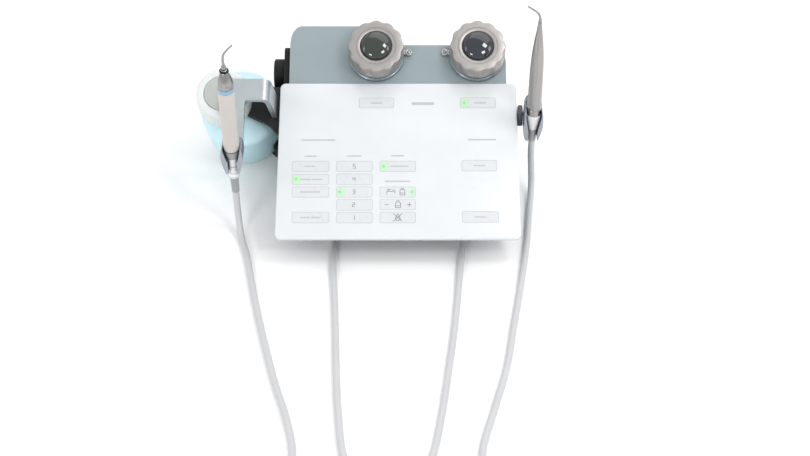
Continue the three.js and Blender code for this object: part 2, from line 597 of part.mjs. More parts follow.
function makePolisher() {
  const at = [POLISHER.x, POLISHER.y];
  const lathe = (name, profile, material, segments = 16) =>
    part(unit, name, turned([[0, profile[0][1]], ...profile, [0, profile[profile.length - 1][1]]], segments, ...at),
      material);
  lathe('polisher_strain_relief', [[3.9, 70], [4.2, 84.7]], 'grey', 16);
  lathe('polisher_coupling', [[4.2, 85], [7.7, 104.6]], 'white');
  const body = [
    [7.5, 105], [7.5, 112], [7.2, 113], [7.2, 136], [6.9, 160], [6.2, 178], [4.3, 198], [2.6, 210], [1.9, 218],
  ];
  lathe('polisher_body', body, 'steel');
  const collar = solid(turned([[0, 218.3], [1.9, 218.3], [1.7, 221], [0, 221]], 16, ...at));
  const bend = [[141, 117, 220], [140.6, 117, 224.2], [138.4, 117, 228.4], [134, 117, 232.2], [127.9, 117, 236.4]];
  part(unit, 'polisher_nozzle', join(collar, solid(tube(bend, 0.9, 6, 10))), 'steel');
}

// ---------------------------------------------------------------- cords

// Each cord runs from its gland to the coil, and from the coil back to its handpiece.
const CORD_ROUTES = {
  scaler_cord_unit: [
    [-68, 38.9, 12.2], [-68, 33, 9.4], [-67.8, 24, 5], [-67.4, 14, 3.6], [-66, -16, 3.6], [-62.9, -62, 3.6],
    [-61, -98, 3.6], [-58, -160, 3.6], [-54.8, -205, 3.6], [-48.5, -256, 3.6], [-36, -290, 3.6], [-28, -311, 3.6],
  ],
  scaler_cord_handpiece: [
    [-168, 57, 49.7], [-168, 56.6, 38], [-167.4, 53.6, 22], [-165.8, 45.5, 9.6], [-162.6, 31, 4],
    [-157, 12, 3.6], [-149, -26, 3.6], [-138.7, -76, 3.6], [-127, -125, 3.6], [-115.9, -168, 3.6],
    [-102.5, -212, 3.6], [-94.5, -256, 3.6], [-100, -284, 5.4], [-110.5, -305, 8.2],
  ],
  polisher_cord_unit: [
    [66, 38.9, 12.2], [66, 33, 9.4], [66, 24, 5], [65.8, 14, 3.6], [63, -16, 3.6], [59, -62, 3.6],
    [55.5, -98, 3.6], [49, -150, 3.6], [41.5, -205, 3.6], [32, -256, 3.6], [19, -290, 3.6], [11, -311, 3.6],
  ],
  polisher_cord_handpiece: [
    [141, 117, 69.7], [141.2, 117, 52], [142.4, 116, 33], [143, 110, 16], [141.6, 94, 5.4],
    [139.4, 76, 3.6], [134, 28, 3.6], [124, -36, 3.6], [113.2, -98, 3.6], [104, -150, 3.6],
    [91, -198, 3.6], [77, -256, 3.6], [83, -284, 5.4], [93.5, -305, 8.2],
  ],
};

function makeCords() {
  const coils = { scaler: COIL.leftX, polisher: COIL.rightX };
  for (const [side, x] of Object.entries(coils)) {
    const { inner, outer, height, y } = COIL;
    const chamfer = 2.5;
    const profile = [
      [inner, 0.1], [outer, 0.1], [outer, height - chamfer], [outer - chamfer, height],
      [inner + chamfer, height], [inner, height - chamfer], [inner, 0.1],
    ];
    part(unit, `${side}_cord_coil`, turned(profile, 20, x, y), 'cord');
    const keepOut = solid(turned([[0, -5], [outer + GAP, -5], [outer + GAP, 25], [0, 25]], 20, x, y));
    for (const end of ['unit', 'handpiece']) {
      const name = `${side}_cord_${end}`;
      const run = solid(tube(CORD_ROUTES[name], CORD.radius, CORD.sides, 26));
      part(unit, name, cut(run, keepOut), 'cord');
    }
    const glandX = side === 'scaler' ? -68 : 66;
    const nut = solid(barY(7, BODY.front - 5, BODY.front - GAP, glandX, 14, 20));
    const neck = solid(barY(4.8, BODY.front - 1, BODY.front + 8, glandX, 14, 20));
    const sleeveShape = turned([[0, 0], [4.8, 0], [4.1, 8], [0, 8]], 16).rotateX(Math.PI / 2 + 0.17);
    const sleeve = solid(sleeveShape.translate(glandX, BODY.front - 4, 14));
    part(unit, `${side}_cord_gland`, join(nut, neck, sleeve), 'grey');
  }
}

// ---------------------------------------------------------------- the unit

makePanel();
makeHousing();
makeFeet();
makeInternals();
makeRearFittings();
makeChamber('left', CHAMBER_X[0], 1);
makeChamber('right', CHAMBER_X[1], -1);
makePump();
makeBottle();
makeScalerHolder();
makePolisherHolder();
makeScaler();
makePolisher();
makeCords();

unit.position.set(-FOOTPRINT_CENTRE.x, -FOOTPRINT_CENTRE.y, 0);
const model = new THREE.Group();
model.add(unit);

export default model;
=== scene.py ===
import math

import bmesh
import bpy
from mathutils import Matrix, Vector


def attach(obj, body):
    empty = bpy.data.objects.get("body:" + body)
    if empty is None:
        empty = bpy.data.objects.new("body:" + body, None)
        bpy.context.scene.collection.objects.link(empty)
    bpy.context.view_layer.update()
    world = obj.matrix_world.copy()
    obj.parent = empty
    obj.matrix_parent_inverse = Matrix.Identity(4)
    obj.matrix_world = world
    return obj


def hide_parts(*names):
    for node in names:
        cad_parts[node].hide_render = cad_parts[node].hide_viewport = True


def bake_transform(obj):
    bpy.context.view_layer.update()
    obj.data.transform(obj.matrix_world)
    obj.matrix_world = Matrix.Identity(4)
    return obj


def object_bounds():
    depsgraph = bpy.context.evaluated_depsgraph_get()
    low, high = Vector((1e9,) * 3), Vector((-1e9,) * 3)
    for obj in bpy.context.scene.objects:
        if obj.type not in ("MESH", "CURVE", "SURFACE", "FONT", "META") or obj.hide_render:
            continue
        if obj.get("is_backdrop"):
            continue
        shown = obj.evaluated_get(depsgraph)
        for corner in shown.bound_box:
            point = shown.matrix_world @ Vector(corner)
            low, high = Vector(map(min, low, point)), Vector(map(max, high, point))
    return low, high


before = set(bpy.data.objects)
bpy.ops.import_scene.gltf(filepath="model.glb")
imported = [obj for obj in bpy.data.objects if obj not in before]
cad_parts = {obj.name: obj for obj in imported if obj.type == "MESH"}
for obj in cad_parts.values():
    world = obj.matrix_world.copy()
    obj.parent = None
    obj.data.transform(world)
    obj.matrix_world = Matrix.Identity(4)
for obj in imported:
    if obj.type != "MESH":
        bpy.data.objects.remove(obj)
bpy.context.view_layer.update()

# ---------------------------------------------------------------- layout
# The unit is laid out in millimetres from the touch panel's front edge, as in the CAD.
# ROW takes that layout to the row frame in metres.

ROW = Matrix.Scale(0.001, 4) @ Matrix.Translation((29.75, -122.7, 0))

GAP = 0.3
PANEL_W, PANEL_L, PANEL_TILT, PANEL_Z, PANEL_GLASS = 250, 180, 24.3, 34, 4.4
DECK_TILT, DECK_Y, DECK_Z = 31, 193.7, 122.4
BODY_LEFT, BODY_RIGHT, BODY_FRONT, BODY_STEP = -116, 115, 52, -23.4
REAR_LEFT, REAR_RIGHT = 226, 207
WALL, BOTTOM = 2.5, 6
CHAMBERS = (("left", -23.4, 1), ("right", 84, -1))
JAR_R, JAR_DEPTH, NECK_R, NECK_TOP = 27.5, 60, 23.2, 17.2
CAP_R, CAP_LOW, CAP_HIGH, CAP_BORE, CAP_WINDOW = 28.6, 10.4, 27.2, 24.6, 15.9
PUMP_Y, PUMP_Z = 200, 93
BOTTLE_AT = (-168.6, 190.7, 24)
BOTTLE_NECK_X = -15
SCALER_X, SCALER_Y = -168, 57
POLISHER_X, POLISHER_Y = 141, 117
ARM_TILT, ARM_Y, ARM_Z = 27, 125, 129.5
CORD_R = 3.5
COIL_Y, COIL_LEFT, COIL_RIGHT = -326, -71, 54


def place(x, y, z, tilt=0.0):
    """The placing of a tilted piece in the layout."""
    return Matrix.Translation((x, y, z)) @ Matrix.Rotation(math.radians(tilt), 4, "X")


ALONG_X = Matrix.Rotation(math.radians(90), 4, "Y")
ALONG_Y = Matrix.Rotation(math.radians(-90), 4, "X")


def row(x, y, z):
    return ROW @ Vector((x, y, z))


# ---------------------------------------------------------------- camera

camera_data = bpy.data.cameras.new("camera")
camera_data.sensor_width = 36
camera_data.lens = 66.667
camera_data.clip_end = 30
camera = bpy.data.objects.new("camera", camera_data)
camera.location = row(7.15, -1122.8, 1060.0)
camera.rotation_euler = (math.radians(48), 0, 0)
bpy.context.scene.collection.objects.link(camera)
bpy.context.scene.camera = camera

# ---------------------------------------------------------------- materials


class Look:
    """One procedural material: colour drift, roughness drift, fine bump and edge wear."""

    def __init__(self, name, color, rough, metal=0.0, drift=(0.04, 30)):
        self.material = bpy.data.materials.new(name)
        self.material.use_nodes = True
        self.tree = self.material.node_tree
        self.shader = self.tree.nodes["Principled BSDF"]
        self.shader.inputs["Metallic"].default_value = metal
        self.coords = self.tree.nodes.new("ShaderNodeTexCoord").outputs["Object"]
        self.drift(color, *drift)
        self.polish(rough, 0.05, 120)

    def noise(self, scale, detail, stretch=None):
        node = self.tree.nodes.new("ShaderNodeTexNoise")
        node.inputs["Scale"].default_value = scale
        node.inputs["Detail"].default_value = detail
        source = self.coords
        if stretch:
            mapping = self.tree.nodes.new("ShaderNodeMapping")
            mapping.inputs["Scale"].default_value = stretch
            self.tree.links.new(source, mapping.inputs["Vector"])
            source = mapping.outputs["Vector"]
        self.tree.links.new(source, node.inputs["Vector"])
        return node.outputs["Fac"]

    def spread(self, source, low, high):
        node = self.tree.nodes.new("ShaderNodeMapRange")
        node.inputs["From Min"].default_value = 0.3
        node.inputs["From Max"].default_value = 0.7
        node.inputs["To Min"].default_value = low
        node.inputs["To Max"].default_value = high
        self.tree.links.new(source, node.inputs["Value"])
        return node.outputs["Result"]

    def mix(self, factor, first, second):
        node = self.tree.nodes.new("ShaderNodeMix")
        node.data_type = "RGBA"
        self.tree.links.new(factor, node.inputs["Factor"])
        for socket, value in ((node.inputs[6], first), (node.inputs[7], second)):
            if isinstance(value, tuple):
                socket.default_value = (*value, 1)
            else:
                self.tree.links.new(value, socket)
        return node.outputs[2]

    def drift(self, color, amount, scale, stretch=None):
        """Slightly darker and lighter patches, or streaks where stretch is given; on the steel these streaks
        are painted reflections.
        """
        dark = tuple(c * (1 - amount) for c in color)
        light = tuple(min(1.0, c * (1 + amount)) for c in color)
        self.base = self.mix(self.noise(scale, 3, stretch), dark, light)
        self.tree.links.new(self.base, self.shader.inputs["Base Color"])

    def polish(self, rough, amount, scale):
        """Roughness that varies over the surface."""
        source = self.spread(self.noise(scale, 4), max(rough - amount, 0.02), rough + amount)
        self.tree.links.new(source, self.shader.inputs["Roughness"])

    def grain(self, scale, depth, stretch=None, strength=0.3):
        """Fine relief, depth in metres."""
        bump = self.tree.nodes.new("ShaderNodeBump")
        bump.inputs["Distance"].default_value = depth
        bump.inputs["Strength"].default_value = strength
        self.tree.links.new(self.noise(scale, 2, stretch), bump.inputs["Height"])
        self.tree.links.new(bump.outputs["Normal"], self.shader.inputs["Normal"])
        return self

    def worn(self, color):
        """Edges rubbed towards another colour."""
        geometry = self.tree.nodes.new("ShaderNodeNewGeometry")
        ramp = self.tree.nodes.new("ShaderNodeMapRange")
        ramp.inputs["From Min"].default_value = 0.53
        ramp.inputs["From Max"].default_value = 0.6
        ramp.inputs["To Max"].default_value = 0.6
        self.tree.links.new(geometry.outputs["Pointiness"], ramp.inputs["Value"])
        self.base = self.mix(ramp.outputs["Result"], self.base, color)
        self.tree.links.new(self.base, self.shader.inputs["Base Color"])
        return self

    def set(self, **values):
        for name, value in values.items():
            self.shader.inputs[name.replace("_", " ")].default_value = value


L = {
    "paint": Look("paint", (0.27, 0.325, 0.345), 0.42, 0.1).grain(900, 0.0001, strength=0.25),
    "glass": Look("panel_glass", (0.63, 0.655, 0.675), 0.22).grain(40, 0.0001, strength=0.05),
    "print": Look("print_line", (0.42, 0.43, 0.45), 0.5).grain(3000, 0.00005),
    "ink": Look("print_ink", (0.16, 0.165, 0.175), 0.5).grain(3000, 0.00005),
    "field": Look("print_field", (0.58, 0.60, 0.62), 0.3).grain(3000, 0.00005),
    "lit": Look("lit_field", (0.48, 0.66, 0.48), 0.3).grain(3000, 0.00005),
    "led": Look("led", (0.12, 0.62, 0.16), 0.3),
    "carrier": Look("carrier", (0.16, 0.17, 0.19), 0.35, 0.7).grain(1500, 0.0001),
    # steel: its strong dark and light streaks along each turned part are painted reflections
    "steel": Look("steel", (0.34, 0.33, 0.325), 0.17, 1.0, (0.16, 420, (1, 1, 0.03))),
    "plate": Look("steel_plate", (0.52, 0.51, 0.50), 0.3, 1.0).grain(600, 0.00006, (0.05, 1, 1)),
    "chrome": Look("chrome", (0.5, 0.5, 0.51), 0.1, 1.0).grain(400, 0.00003),
    "cap": Look("cap_metal", (0.39, 0.37, 0.355), 0.42, 0.85).grain(2600, 0.00012).worn((0.75, 0.73, 0.72)),
    "collar": Look("collar", (0.20, 0.235, 0.26), 0.28, 0.6).grain(900, 0.00002, strength=0.05),
    # near-black look for the ring round each dome: painted shade of the groove between dome and cap
    "groove_shade_look": Look("painted_groove_shade", (0.05, 0.05, 0.052), 0.4, 0.4).grain(2000, 0.0001),
    "dome_left": Look("dome_green", (0.010, 0.018, 0.012), 0.05).grain(200, 0.00002),
    "dome_right": Look("dome_navy", (0.005, 0.007, 0.018), 0.05).grain(200, 0.00002),
    "jar": Look("jar", (0.62, 0.70, 0.74), 0.22),
    "alloy": Look("alloy", (0.50, 0.55, 0.565), 0.34, 0.85).grain(1800, 0.00002, strength=0.04),
    "grip": Look("grip_alloy", (0.33, 0.355, 0.39), 0.3, 0.8).grain(1800, 0.00002, strength=0.04),
    "black": Look("black_plastic", (0.007, 0.007, 0.008), 0.5).grain(2200, 0.0001).worn((0.04, 0.04, 0.045)),
    "rubber": Look("black_rubber", (0.02, 0.02, 0.022), 0.75).grain(1500, 0.00015),
    "bottle": Look("bottle", (0.66, 0.90, 0.97), 0.34),
    "frost": Look("frosted", (0.80, 0.84, 0.83), 0.42).grain(900, 0.0001),
    "stopper": Look("stopper", (0.42, 0.44, 0.42), 0.5).grain(1300, 0.0001),
    "sleeve": Look("sleeve", (0.50, 0.47, 0.44), 0.36).grain(1500, 0.00008),
    "ring": Look("blue_ring", (0.24, 0.40, 0.54), 0.25, 0.3).grain(900, 0.00005),
    "grey": Look("grey_plastic", (0.30, 0.305, 0.32), 0.45).grain(1600, 0.0001),
    "white": Look("white_plastic", (0.72, 0.725, 0.73), 0.35).grain(1600, 0.00008),
    "cord": Look("cord", (0.50, 0.505, 0.515), 0.45).grain(1400, 0.0001),
    "ribbed": Look("ribbed_block", (0.075, 0.082, 0.10), 0.45, 0.2).grain(1700, 0.0001),
    "board": Look("board", (0.02, 0.10, 0.035), 0.4).grain(700, 0.0002),
    "copper": Look("copper", (0.36, 0.14, 0.06), 0.35, 0.6).grain(1200, 0.0003, (1, 1, 6)),
}
L["led"].set(Emission_Color=(0.1, 0.8, 0.15, 1), Emission_Strength=0.25)
L["black"].set(Specular_IOR_Level=0.25)
L["glass"].set(Coat_Weight=0.3, Coat_Roughness=0.1)
L["bottle"].set(Transmission_Weight=0.18, IOR=1.2)
L["jar"].set(Transmission_Weight=0.5, IOR=1.4)
L["frost"].set(Transmission_Weight=0.2, Subsurface_Weight=0.2, Subsurface_Scale=0.004)
for dome_look in ("dome_left", "dome_right"):
    L[dome_look].set(Coat_Weight=1.0, Coat_Roughness=0.02)

# ---------------------------------------------------------------- outlines
# An outline is a closed list of (u, v) points.


def rounded(corners, steps=6, closed=True):
    """Corner points (u, v, radius) with each corner rounded."""
    points = []
    count = len(corners)
    for i, corner in enumerate(corners):
        at = Vector(corner[:2])
        radius = corner[2] if len(corner) > 2 else 0
        at_end = not closed and i in (0, count - 1)
        if radius <= 0 or at_end:
            points.append(tuple(at))
            continue
        before = Vector(corners[i - 1][:2]) - at
        after = Vector(corners[(i + 1) % count][:2]) - at
        start = at + before.normalized() * min(radius, before.length * 0.49)
        end = at + after.normalized() * min(radius, after.length * 0.49)
        for step in range(steps + 1):
            t = step / steps
            points.append(tuple(start * (1 - t) ** 2 + at * 2 * t * (1 - t) + end * t * t))
    return points


def rectangle(x0, x1, y0, y1, radius=0.0, steps=6):
    """A rectangle with true quarter-circle corners."""
    if radius <= 0:
        return [(x0, y0), (x1, y0), (x1, y1), (x0, y1)]
    points = []
    left, right, front, back = x0 + radius, x1 - radius, y0 + radius, y1 - radius
    for quarter, (cx, cy) in enumerate(((right, back), (left, back), (left, front), (right, front))):
        for step in range(steps + 1):
            angle = math.radians(90 * (quarter + step / steps))
            points.append((cx + radius * math.cos(angle), cy + radius * math.sin(angle)))
    return points


def circle(radius, x=0.0, y=0.0, steps=48):
    turn = 2 * math.pi / steps
    return [(x + radius * math.cos(i * turn), y + radius * math.sin(i * turn)) for i in range(steps)]


# ---------------------------------------------------------------- solids
# A solid is (points, faces), in layout millimetres.


def stack(rings, wrap=False):
    """Rings of equal point counts joined into a skin; a ring of one point closes the skin to a tip."""
    points = []
    faces = []
    index = []
    for skin in rings:
        index.append(range(len(points), len(points) + len(skin)))
        points.extend(skin)
    most = max(len(skin) for skin in rings)
    pairs = list(zip(index, index[1:]))
    if wrap:
        pairs.append((index[-1], index[0]))
    for low, high in pairs:
        for i in range(most):
            j = (i + 1) % most
            corners = (low[i % len(low)], low[j % len(low)], high[j % len(high)], high[i % len(high)])
            face = list(dict.fromkeys(corners))
            if len(face) > 2:
                faces.append(face)
    if not wrap:
        for end in (index[0], index[-1]):
            if len(end) > 2:
                faces.append(list(end))
    return points, faces


def lathe(profile, segments=64, wrap=False):
    """A profile of (radius, height) turned around the local Z axis."""
    rings = []
    for radius, height in profile:
        if radius < 1e-6:
            rings.append([(0, 0, height)])
        else:
            rings.append([(x, y, height) for x, y in circle(radius, steps=segments)])
    return stack(rings, wrap)


def disc(radius, low, high, segments=64):
    return lathe([(0, low), (radius, low), (radius, high), (0, high)], segments)


def ring(inner, outer, low, high, edge=0.4, segments=64):
    corners = [(inner, low, edge), (outer, low, edge), (outer, high, edge), (inner, high, edge)]
    return lathe(rounded(corners, 3), segments, wrap=True)


def turned(corners, segments=64, steps=4):
    """A lathe whose profile corners are rounded; it starts and ends on the axis."""
    return lathe(rounded(corners, steps, closed=False), segments)


def prism(shape, low, high, axis="Z"):
    """An outline raised along Z, or drawn in Y-Z and run along X, or drawn in X-Z and run along Y."""
    order = {
        "Z": lambda u, v, w: (u, v, w),
        "X": lambda u, v, w: (w, u, v),
        "Y": lambda u, v, w: (u, w, v),
    }[axis]
    return stack([[order(u, v, w) for u, v in shape] for w in (low, high)])


def slab(x0, x1, y0, y1, z0, z1, corner=2.0, edge=0.5, steps=6):
    """A plate with round corners in plan and round edges above and below."""
    rings = []
    quarter = [math.radians(a) for a in (90, 60, 30, 0)]
    for angle in quarter:
        inset = edge * (1 - math.cos(angle))
        rings.append((inset, z0 + edge * (1 - math.sin(angle))))
    for angle in reversed(quarter):
        inset = edge * (1 - math.cos(angle))
        rings.append((inset, z1 - edge * (1 - math.sin(angle))))
    skins = []
    for inset, z in rings:
        shape = rectangle(x0 + inset, x1 - inset, y0 + inset, y1 - inset, max(corner - inset, 0.01), steps)
        skins.append([(x, y, z) for x, y in shape])
    return stack(skins)


def moved(solid, matrix):
    points, faces = solid
    return [tuple(matrix @ Vector(p)) for p in points], faces


def merged(*solids):
    """Several closed solids as one list of points and faces."""
    points = []
    faces = []
    for solid_points, solid_faces in solids:
        offset = len(points)
        points.extend(solid_points)
        faces.extend([i + offset for i in face] for face in solid_faces)
    return points, faces


def smooth_line(controls, spacing):
    """A centripetal Catmull-Rom line through the points, sampled about every spacing."""
    points = [Vector(p) for p in controls]
    points.insert(0, points[0] * 2 - points[1])
    points.append(points[-1] * 2 - points[-2])
    line = []
    for i in range(1, len(points) - 2):
        p0, p1, p2, p3 = points[i - 1: i + 3]
        t1 = (p1 - p0).length ** 0.5
        t2 = t1 + (p2 - p1).length ** 0.5
        t3 = t2 + (p3 - p2).length ** 0.5
        steps = max(1, round((p2 - p1).length / spacing))
        for step in range(steps):
            t = t1 + (t2 - t1) * step / steps
            a1 = p0 * ((t1 - t) / t1) + p1 * (t / t1)
            a2 = p1 * ((t2 - t) / (t2 - t1)) + p2 * ((t - t1) / (t2 - t1))
            a3 = p2 * ((t3 - t) / (t3 - t2)) + p3 * ((t - t2) / (t3 - t2))
            b1 = a1 * ((t2 - t) / t2) + a2 * (t / t2)
            b2 = a2 * ((t3 - t) / (t3 - t1)) + a3 * ((t - t1) / (t3 - t1))
            line.append(b1 * ((t2 - t) / (t2 - t1)) + b2 * ((t - t1) / (t2 - t1)))
    line.append(points[-2])
    return line


def tube(line, radius, sides=16):
    """A round bar along a line of points; radius is a number or one number per point."""
    radii = radius if isinstance(radius, list) else [radius] * len(line)
    rings = []
    side = None
    for i, point in enumerate(line):
        ahead = (line[min(i + 1, len(line) - 1)] - line[max(i - 1, 0)]).normalized()
        if side is None:
            side = ahead.orthogonal()
        side = (side - ahead * side.dot(ahead)).normalized()
        up = ahead.cross(side)
        angles = [2 * math.pi * k / sides for k in range(sides)]
        rings.append([tuple(point + (side * math.cos(a) + up * math.sin(a)) * radii[i]) for a in angles])
    return stack(rings)


def as_mesh(name, solid):
    mesh = bpy.data.meshes.new(name)
    mesh.from_pydata(solid[0], [], solid[1])
    work = bmesh.new()
    work.from_mesh(mesh)
    bmesh.ops.recalc_face_normals(work, faces=work.faces)
    work.to_mesh(mesh)
    work.free()
    return mesh


def carved(base, *steps):
    """base with (operation, solid) steps carried out on it in turn."""
    scene = bpy.context.scene.collection
    for operation, tool in steps:
        objects = [bpy.data.objects.new("work", as_mesh("work", solid)) for solid in (base, tool)]
        for item in objects:
            scene.objects.link(item)
        modifier = objects[0].modifiers.new("work", "BOOLEAN")
        modifier.operation = operation
        modifier.solver = "EXACT"
        modifier.object = objects[1]
        graph = bpy.context.evaluated_depsgraph_get()
        result = objects[0].evaluated_get(graph).to_mesh()
        base = ([tuple(v.co) for v in result.vertices], [list(p.vertices) for p in result.polygons])
        for item in objects:
            data = item.data
            bpy.data.objects.remove(item)
            bpy.data.meshes.remove(data)
    return base


def make(name, solids, looks, body, nodes=(), edge=0.0, sharp=38):
    """A shown piece from one solid, or one solid per look."""
    solids = solids if isinstance(solids, list) else [solids]
    looks = looks if isinstance(looks, list) else [looks]
    mesh = as_mesh(name, merged(*solids))
    for key in looks:
        mesh.materials.append(L[key].material)
    if len(solids) > 1:
        number = 0
        for order, (_, faces) in enumerate(solids):
            for _ in faces:
                mesh.polygons[number].material_index = order
                number += 1
    mesh.transform(ROW)
    mesh.shade_smooth()
    mesh.set_sharp_from_angle(angle=math.radians(sharp))
    piece = bpy.data.objects.new(name, mesh)
    bpy.context.scene.collection.objects.link(piece)
    if edge:
        round_edges(piece, edge)
    if body:
        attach(piece, body)
    if nodes:
        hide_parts(*nodes)
    return piece


def round_edges(piece, width):
    """Rounds the sharp edges, by width in millimetres."""
    bevel = piece.modifiers.new("edges", "BEVEL")
    bevel.width = width / 1000
    bevel.segments = 3
    bevel.limit_method = "ANGLE"
    bevel.angle_limit = math.radians(35)
    bevel.harden_normals = True


# ---------------------------------------------------------------- cords

LIE = 3.6  # height of a cord's middle line where it lies on the surface
SCALER_TO_COIL = [
    (-68, 38.9, 12.2), (-68, 33, 9.4), (-67.8, 24, 5), (-67.4, 14, LIE), (-66, -16, LIE), (-62.9, -62, LIE),
    (-61, -98, LIE), (-58, -160, LIE), (-54.8, -205, LIE), (-48.5, -256, LIE), (-36, -290, LIE),
    (-27.4, -311, LIE),
]
COIL_TO_SCALER = [
    (-113.9, -310, 10.6), (-107.5, -296, 9), (-100, -284, 6.4), (-94.5, -256, LIE), (-102.5, -212, LIE),
    (-115.9, -168, LIE), (-127, -125, LIE), (-138.7, -76, LIE), (-149, -26, LIE), (-157, 12, LIE),
    (-162.6, 31, 4), (-165.8, 45.5, 9.6), (-167.4, 53.6, 22), (-168, 56.6, 38), (-168, 57, 49.7),
]
POLISHER_TO_COIL = [
    (66, 38.9, 12.2), (66, 33, 9.4), (66, 24, 5), (65.8, 14, LIE), (63, -16, LIE), (59, -62, LIE),
    (55.5, -98, LIE), (49, -150, LIE), (41.5, -205, LIE), (32, -256, LIE), (19, -290, LIE),
    (10.4, -311, LIE),
]
COIL_TO_POLISHER = [
    (96.9, -310, 10.6), (90.5, -296, 9), (83, -284, 6.4), (77, -256, LIE), (91, -198, LIE),
    (104, -150, LIE),
    (113.2, -98, LIE), (124, -36, LIE), (134, 28, LIE), (139.4, 76, LIE), (141.6, 94, 5.4), (143, 110, 16),
    (142.4, 116, 33), (141.2, 117, 52), (141, 117, 69.7),
]
COIL_R, COIL_PITCH, COIL_TURNS = 45.5, 7.15, 4.5
COIL_LOW, COIL_HIGH = LIE, 10.8


def coil_points(centre_x, hand):
    """Wound inwards on the surface, then outwards on top; hand 1 enters on the right, clockwise."""
    points = []
    per_turn = 24
    for i in range(int(COIL_TURNS * per_turn) + 1):
        turns = i / per_turn
        radius = COIL_R - COIL_PITCH * min(turns, COIL_TURNS - turns)
        rise = min(max((turns - COIL_TURNS / 2 + 0.25) / 0.5, 0), 1)
        height = COIL_LOW + (COIL_HIGH - COIL_LOW) * rise * rise * (3 - 2 * rise)
        angle = -2 * math.pi * turns
        x = centre_x + hand * radius * math.cos(angle)
        points.append((x, COIL_Y + radius * math.sin(angle), height))
    return points


def make_cord(name, to_coil, from_coil, centre_x, hand, nodes):
    line = smooth_line(to_coil + coil_points(centre_x, hand) + from_coil, 4.0)
    piece = make(name, tube(line, CORD_R), "cord", None, nodes)
    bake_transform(piece)


make_cord("scaler_cord", SCALER_TO_COIL, COIL_TO_SCALER, COIL_LEFT, 1,
          ("scaler_cord_unit", "scaler_cord_coil", "scaler_cord_handpiece"))
make_cord("polisher_cord", POLISHER_TO_COIL, COIL_TO_POLISHER, COIL_RIGHT, -1,
          ("polisher_cord_unit", "polisher_cord_coil", "polisher_cord_handpiece"))


def make_gland(name, x, node):
    at = place(x, BODY_FRONT, 14) @ ALONG_Y.inverted()
    nut = moved(turned([(0, 0.3), (7, 0.3, 0.6), (7, 4.6, 0.8), (5.6, 5, 0.3), (0, 5)], 6), at)
    sleeve_at = place(x, BODY_FRONT - 4, 14) @ Matrix.Rotation(math.radians(90) + 0.17, 4, "X")
    ribs = [(0, 0)]
    for i in range(5):
        crest, root = 4.9 - 0.12 * i, 4.3 - 0.1 * i
        ribs += [(crest, 1.6 * i), (crest, 1.6 * i + 1.0), (root, 1.6 * i + 1.3)]
    ribs += [(3.9, 8.6), (0, 8.6)]
    neck = moved(turned([(0, -8), (4.8, -8, 0.3), (4.8, 1, 0.3), (0, 1)], 40), at)
    make(name, merged(nut, neck, moved(lathe(ribs, 40), sleeve_at)), "grey", "root", (node,))


make_gland("scaler_gland", -68, "scaler_cord_gland")
make_gland("polisher_gland", 66, "polisher_cord_gland")

# ---------------------------------------------------------------- touch panel

SLOPE = place(0, 0, PANEL_Z, PANEL_TILT)
HALF = PANEL_W / 2
glass = slab(-HALF, HALF, 0, PANEL_L, -PANEL_GLASS, 0, 6, 0.9, 10)
make("panel_glass", moved(glass, SLOPE), "glass", "root", ("touch_panel_glass",), sharp=60)
carrier_top = -PANEL_GLASS - GAP
tray = slab(-HALF + 1.5, HALF - 1.5, 1.5, PANEL_L - 1.5, carrier_top - 1.3, carrier_top, 6, 0.4)
make("panel_tray", moved(tray, SLOPE), "carrier", "root", ("panel_carrier",), sharp=60)

PRINT_LOW, PRINT_HIGH = 0.01, 0.09
FIELD_R, LINE_W = 1.6, 0.45


def flat(shape, low=PRINT_LOW, high=PRINT_HIGH):
    return prism(shape, low, high)


def border(x0, x1, y0, y1):
    """A closed thin line around a field."""
    outer = rectangle(x0, x1, y0, y1, FIELD_R)
    inner = rectangle(x0 + LINE_W, x1 - LINE_W, y0 + LINE_W, y1 - LINE_W, FIELD_R - LINE_W)
    rings = []
    for shape, z in ((outer, PRINT_LOW), (outer, PRINT_HIGH), (inner, PRINT_HIGH), (inner, PRINT_LOW)):
        rings.append([(x, y, z) for x, y in shape])
    return stack(rings, wrap=True)


def stroke(points, width):
    """A line of flat bars through the points."""
    bars = []
    for (ax, ay), (bx, by) in zip(points, points[1:]):
        along = Vector((bx - ax, by - ay))
        angle = Matrix.Rotation(math.atan2(along.y, along.x), 4, "Z")
        bar = rectangle(-width / 2, along.length + width / 2, -width / 2, width / 2, width / 2.2, 3)
        bars.append(moved(flat(bar), Matrix.Translation((ax, ay, 0)) @ angle))
    return merged(*bars)


def word(x0, x1, y, height, parts):
    """A plain bar, or a few, in the place of a word."""
    gap = 1.2
    width = (x1 - x0 - gap * (parts - 1)) / parts
    bars = []
    for i in range(parts):
        start = x0 + i * (width + gap)
        bar = rectangle(start, start + width, y - height / 2, y + height / 2, height * 0.3, 3)
        bars.append(flat(bar))
    return merged(*bars)


FIELDS = [
    (-41.4, -4.5, 150.2, 162.5), (65.2, 102.8, 150.2, 162.8),
    (-109.9, -71.6, 75.9, 88.1), (-109.5, -71.3, 61.0, 73.1), (-109.0, -71.0, 46.6, 58.6),
    (-108.2, -70.4, 17.7, 30.0),
    (-63.9, -26.5, 75.9, 88.1), (-63.6, -26.4, 61.0, 73.4), (-63.4, -26.3, 46.6, 58.8),
    (-63.1, -26.1, 31.9, 44.2), (-62.8, -26.0, 17.6, 29.8),
    (-19.1, 18.3, 75.9, 88.1), (-18.9, 18.3, 46.6, 58.6), (-18.8, 18.2, 32.4, 44.6),
    (-18.7, 18.2, 17.7, 30.0),
    (65.8, 102.5, 76.4, 89.1), (65.6, 102.8, 18.2, 30.7),
]
LAMPS = [(69.4, 156.3), (-105.3, 67.2), (-60.0, 52.8), (-15.1, 82.0), (14.6, 52.7)]
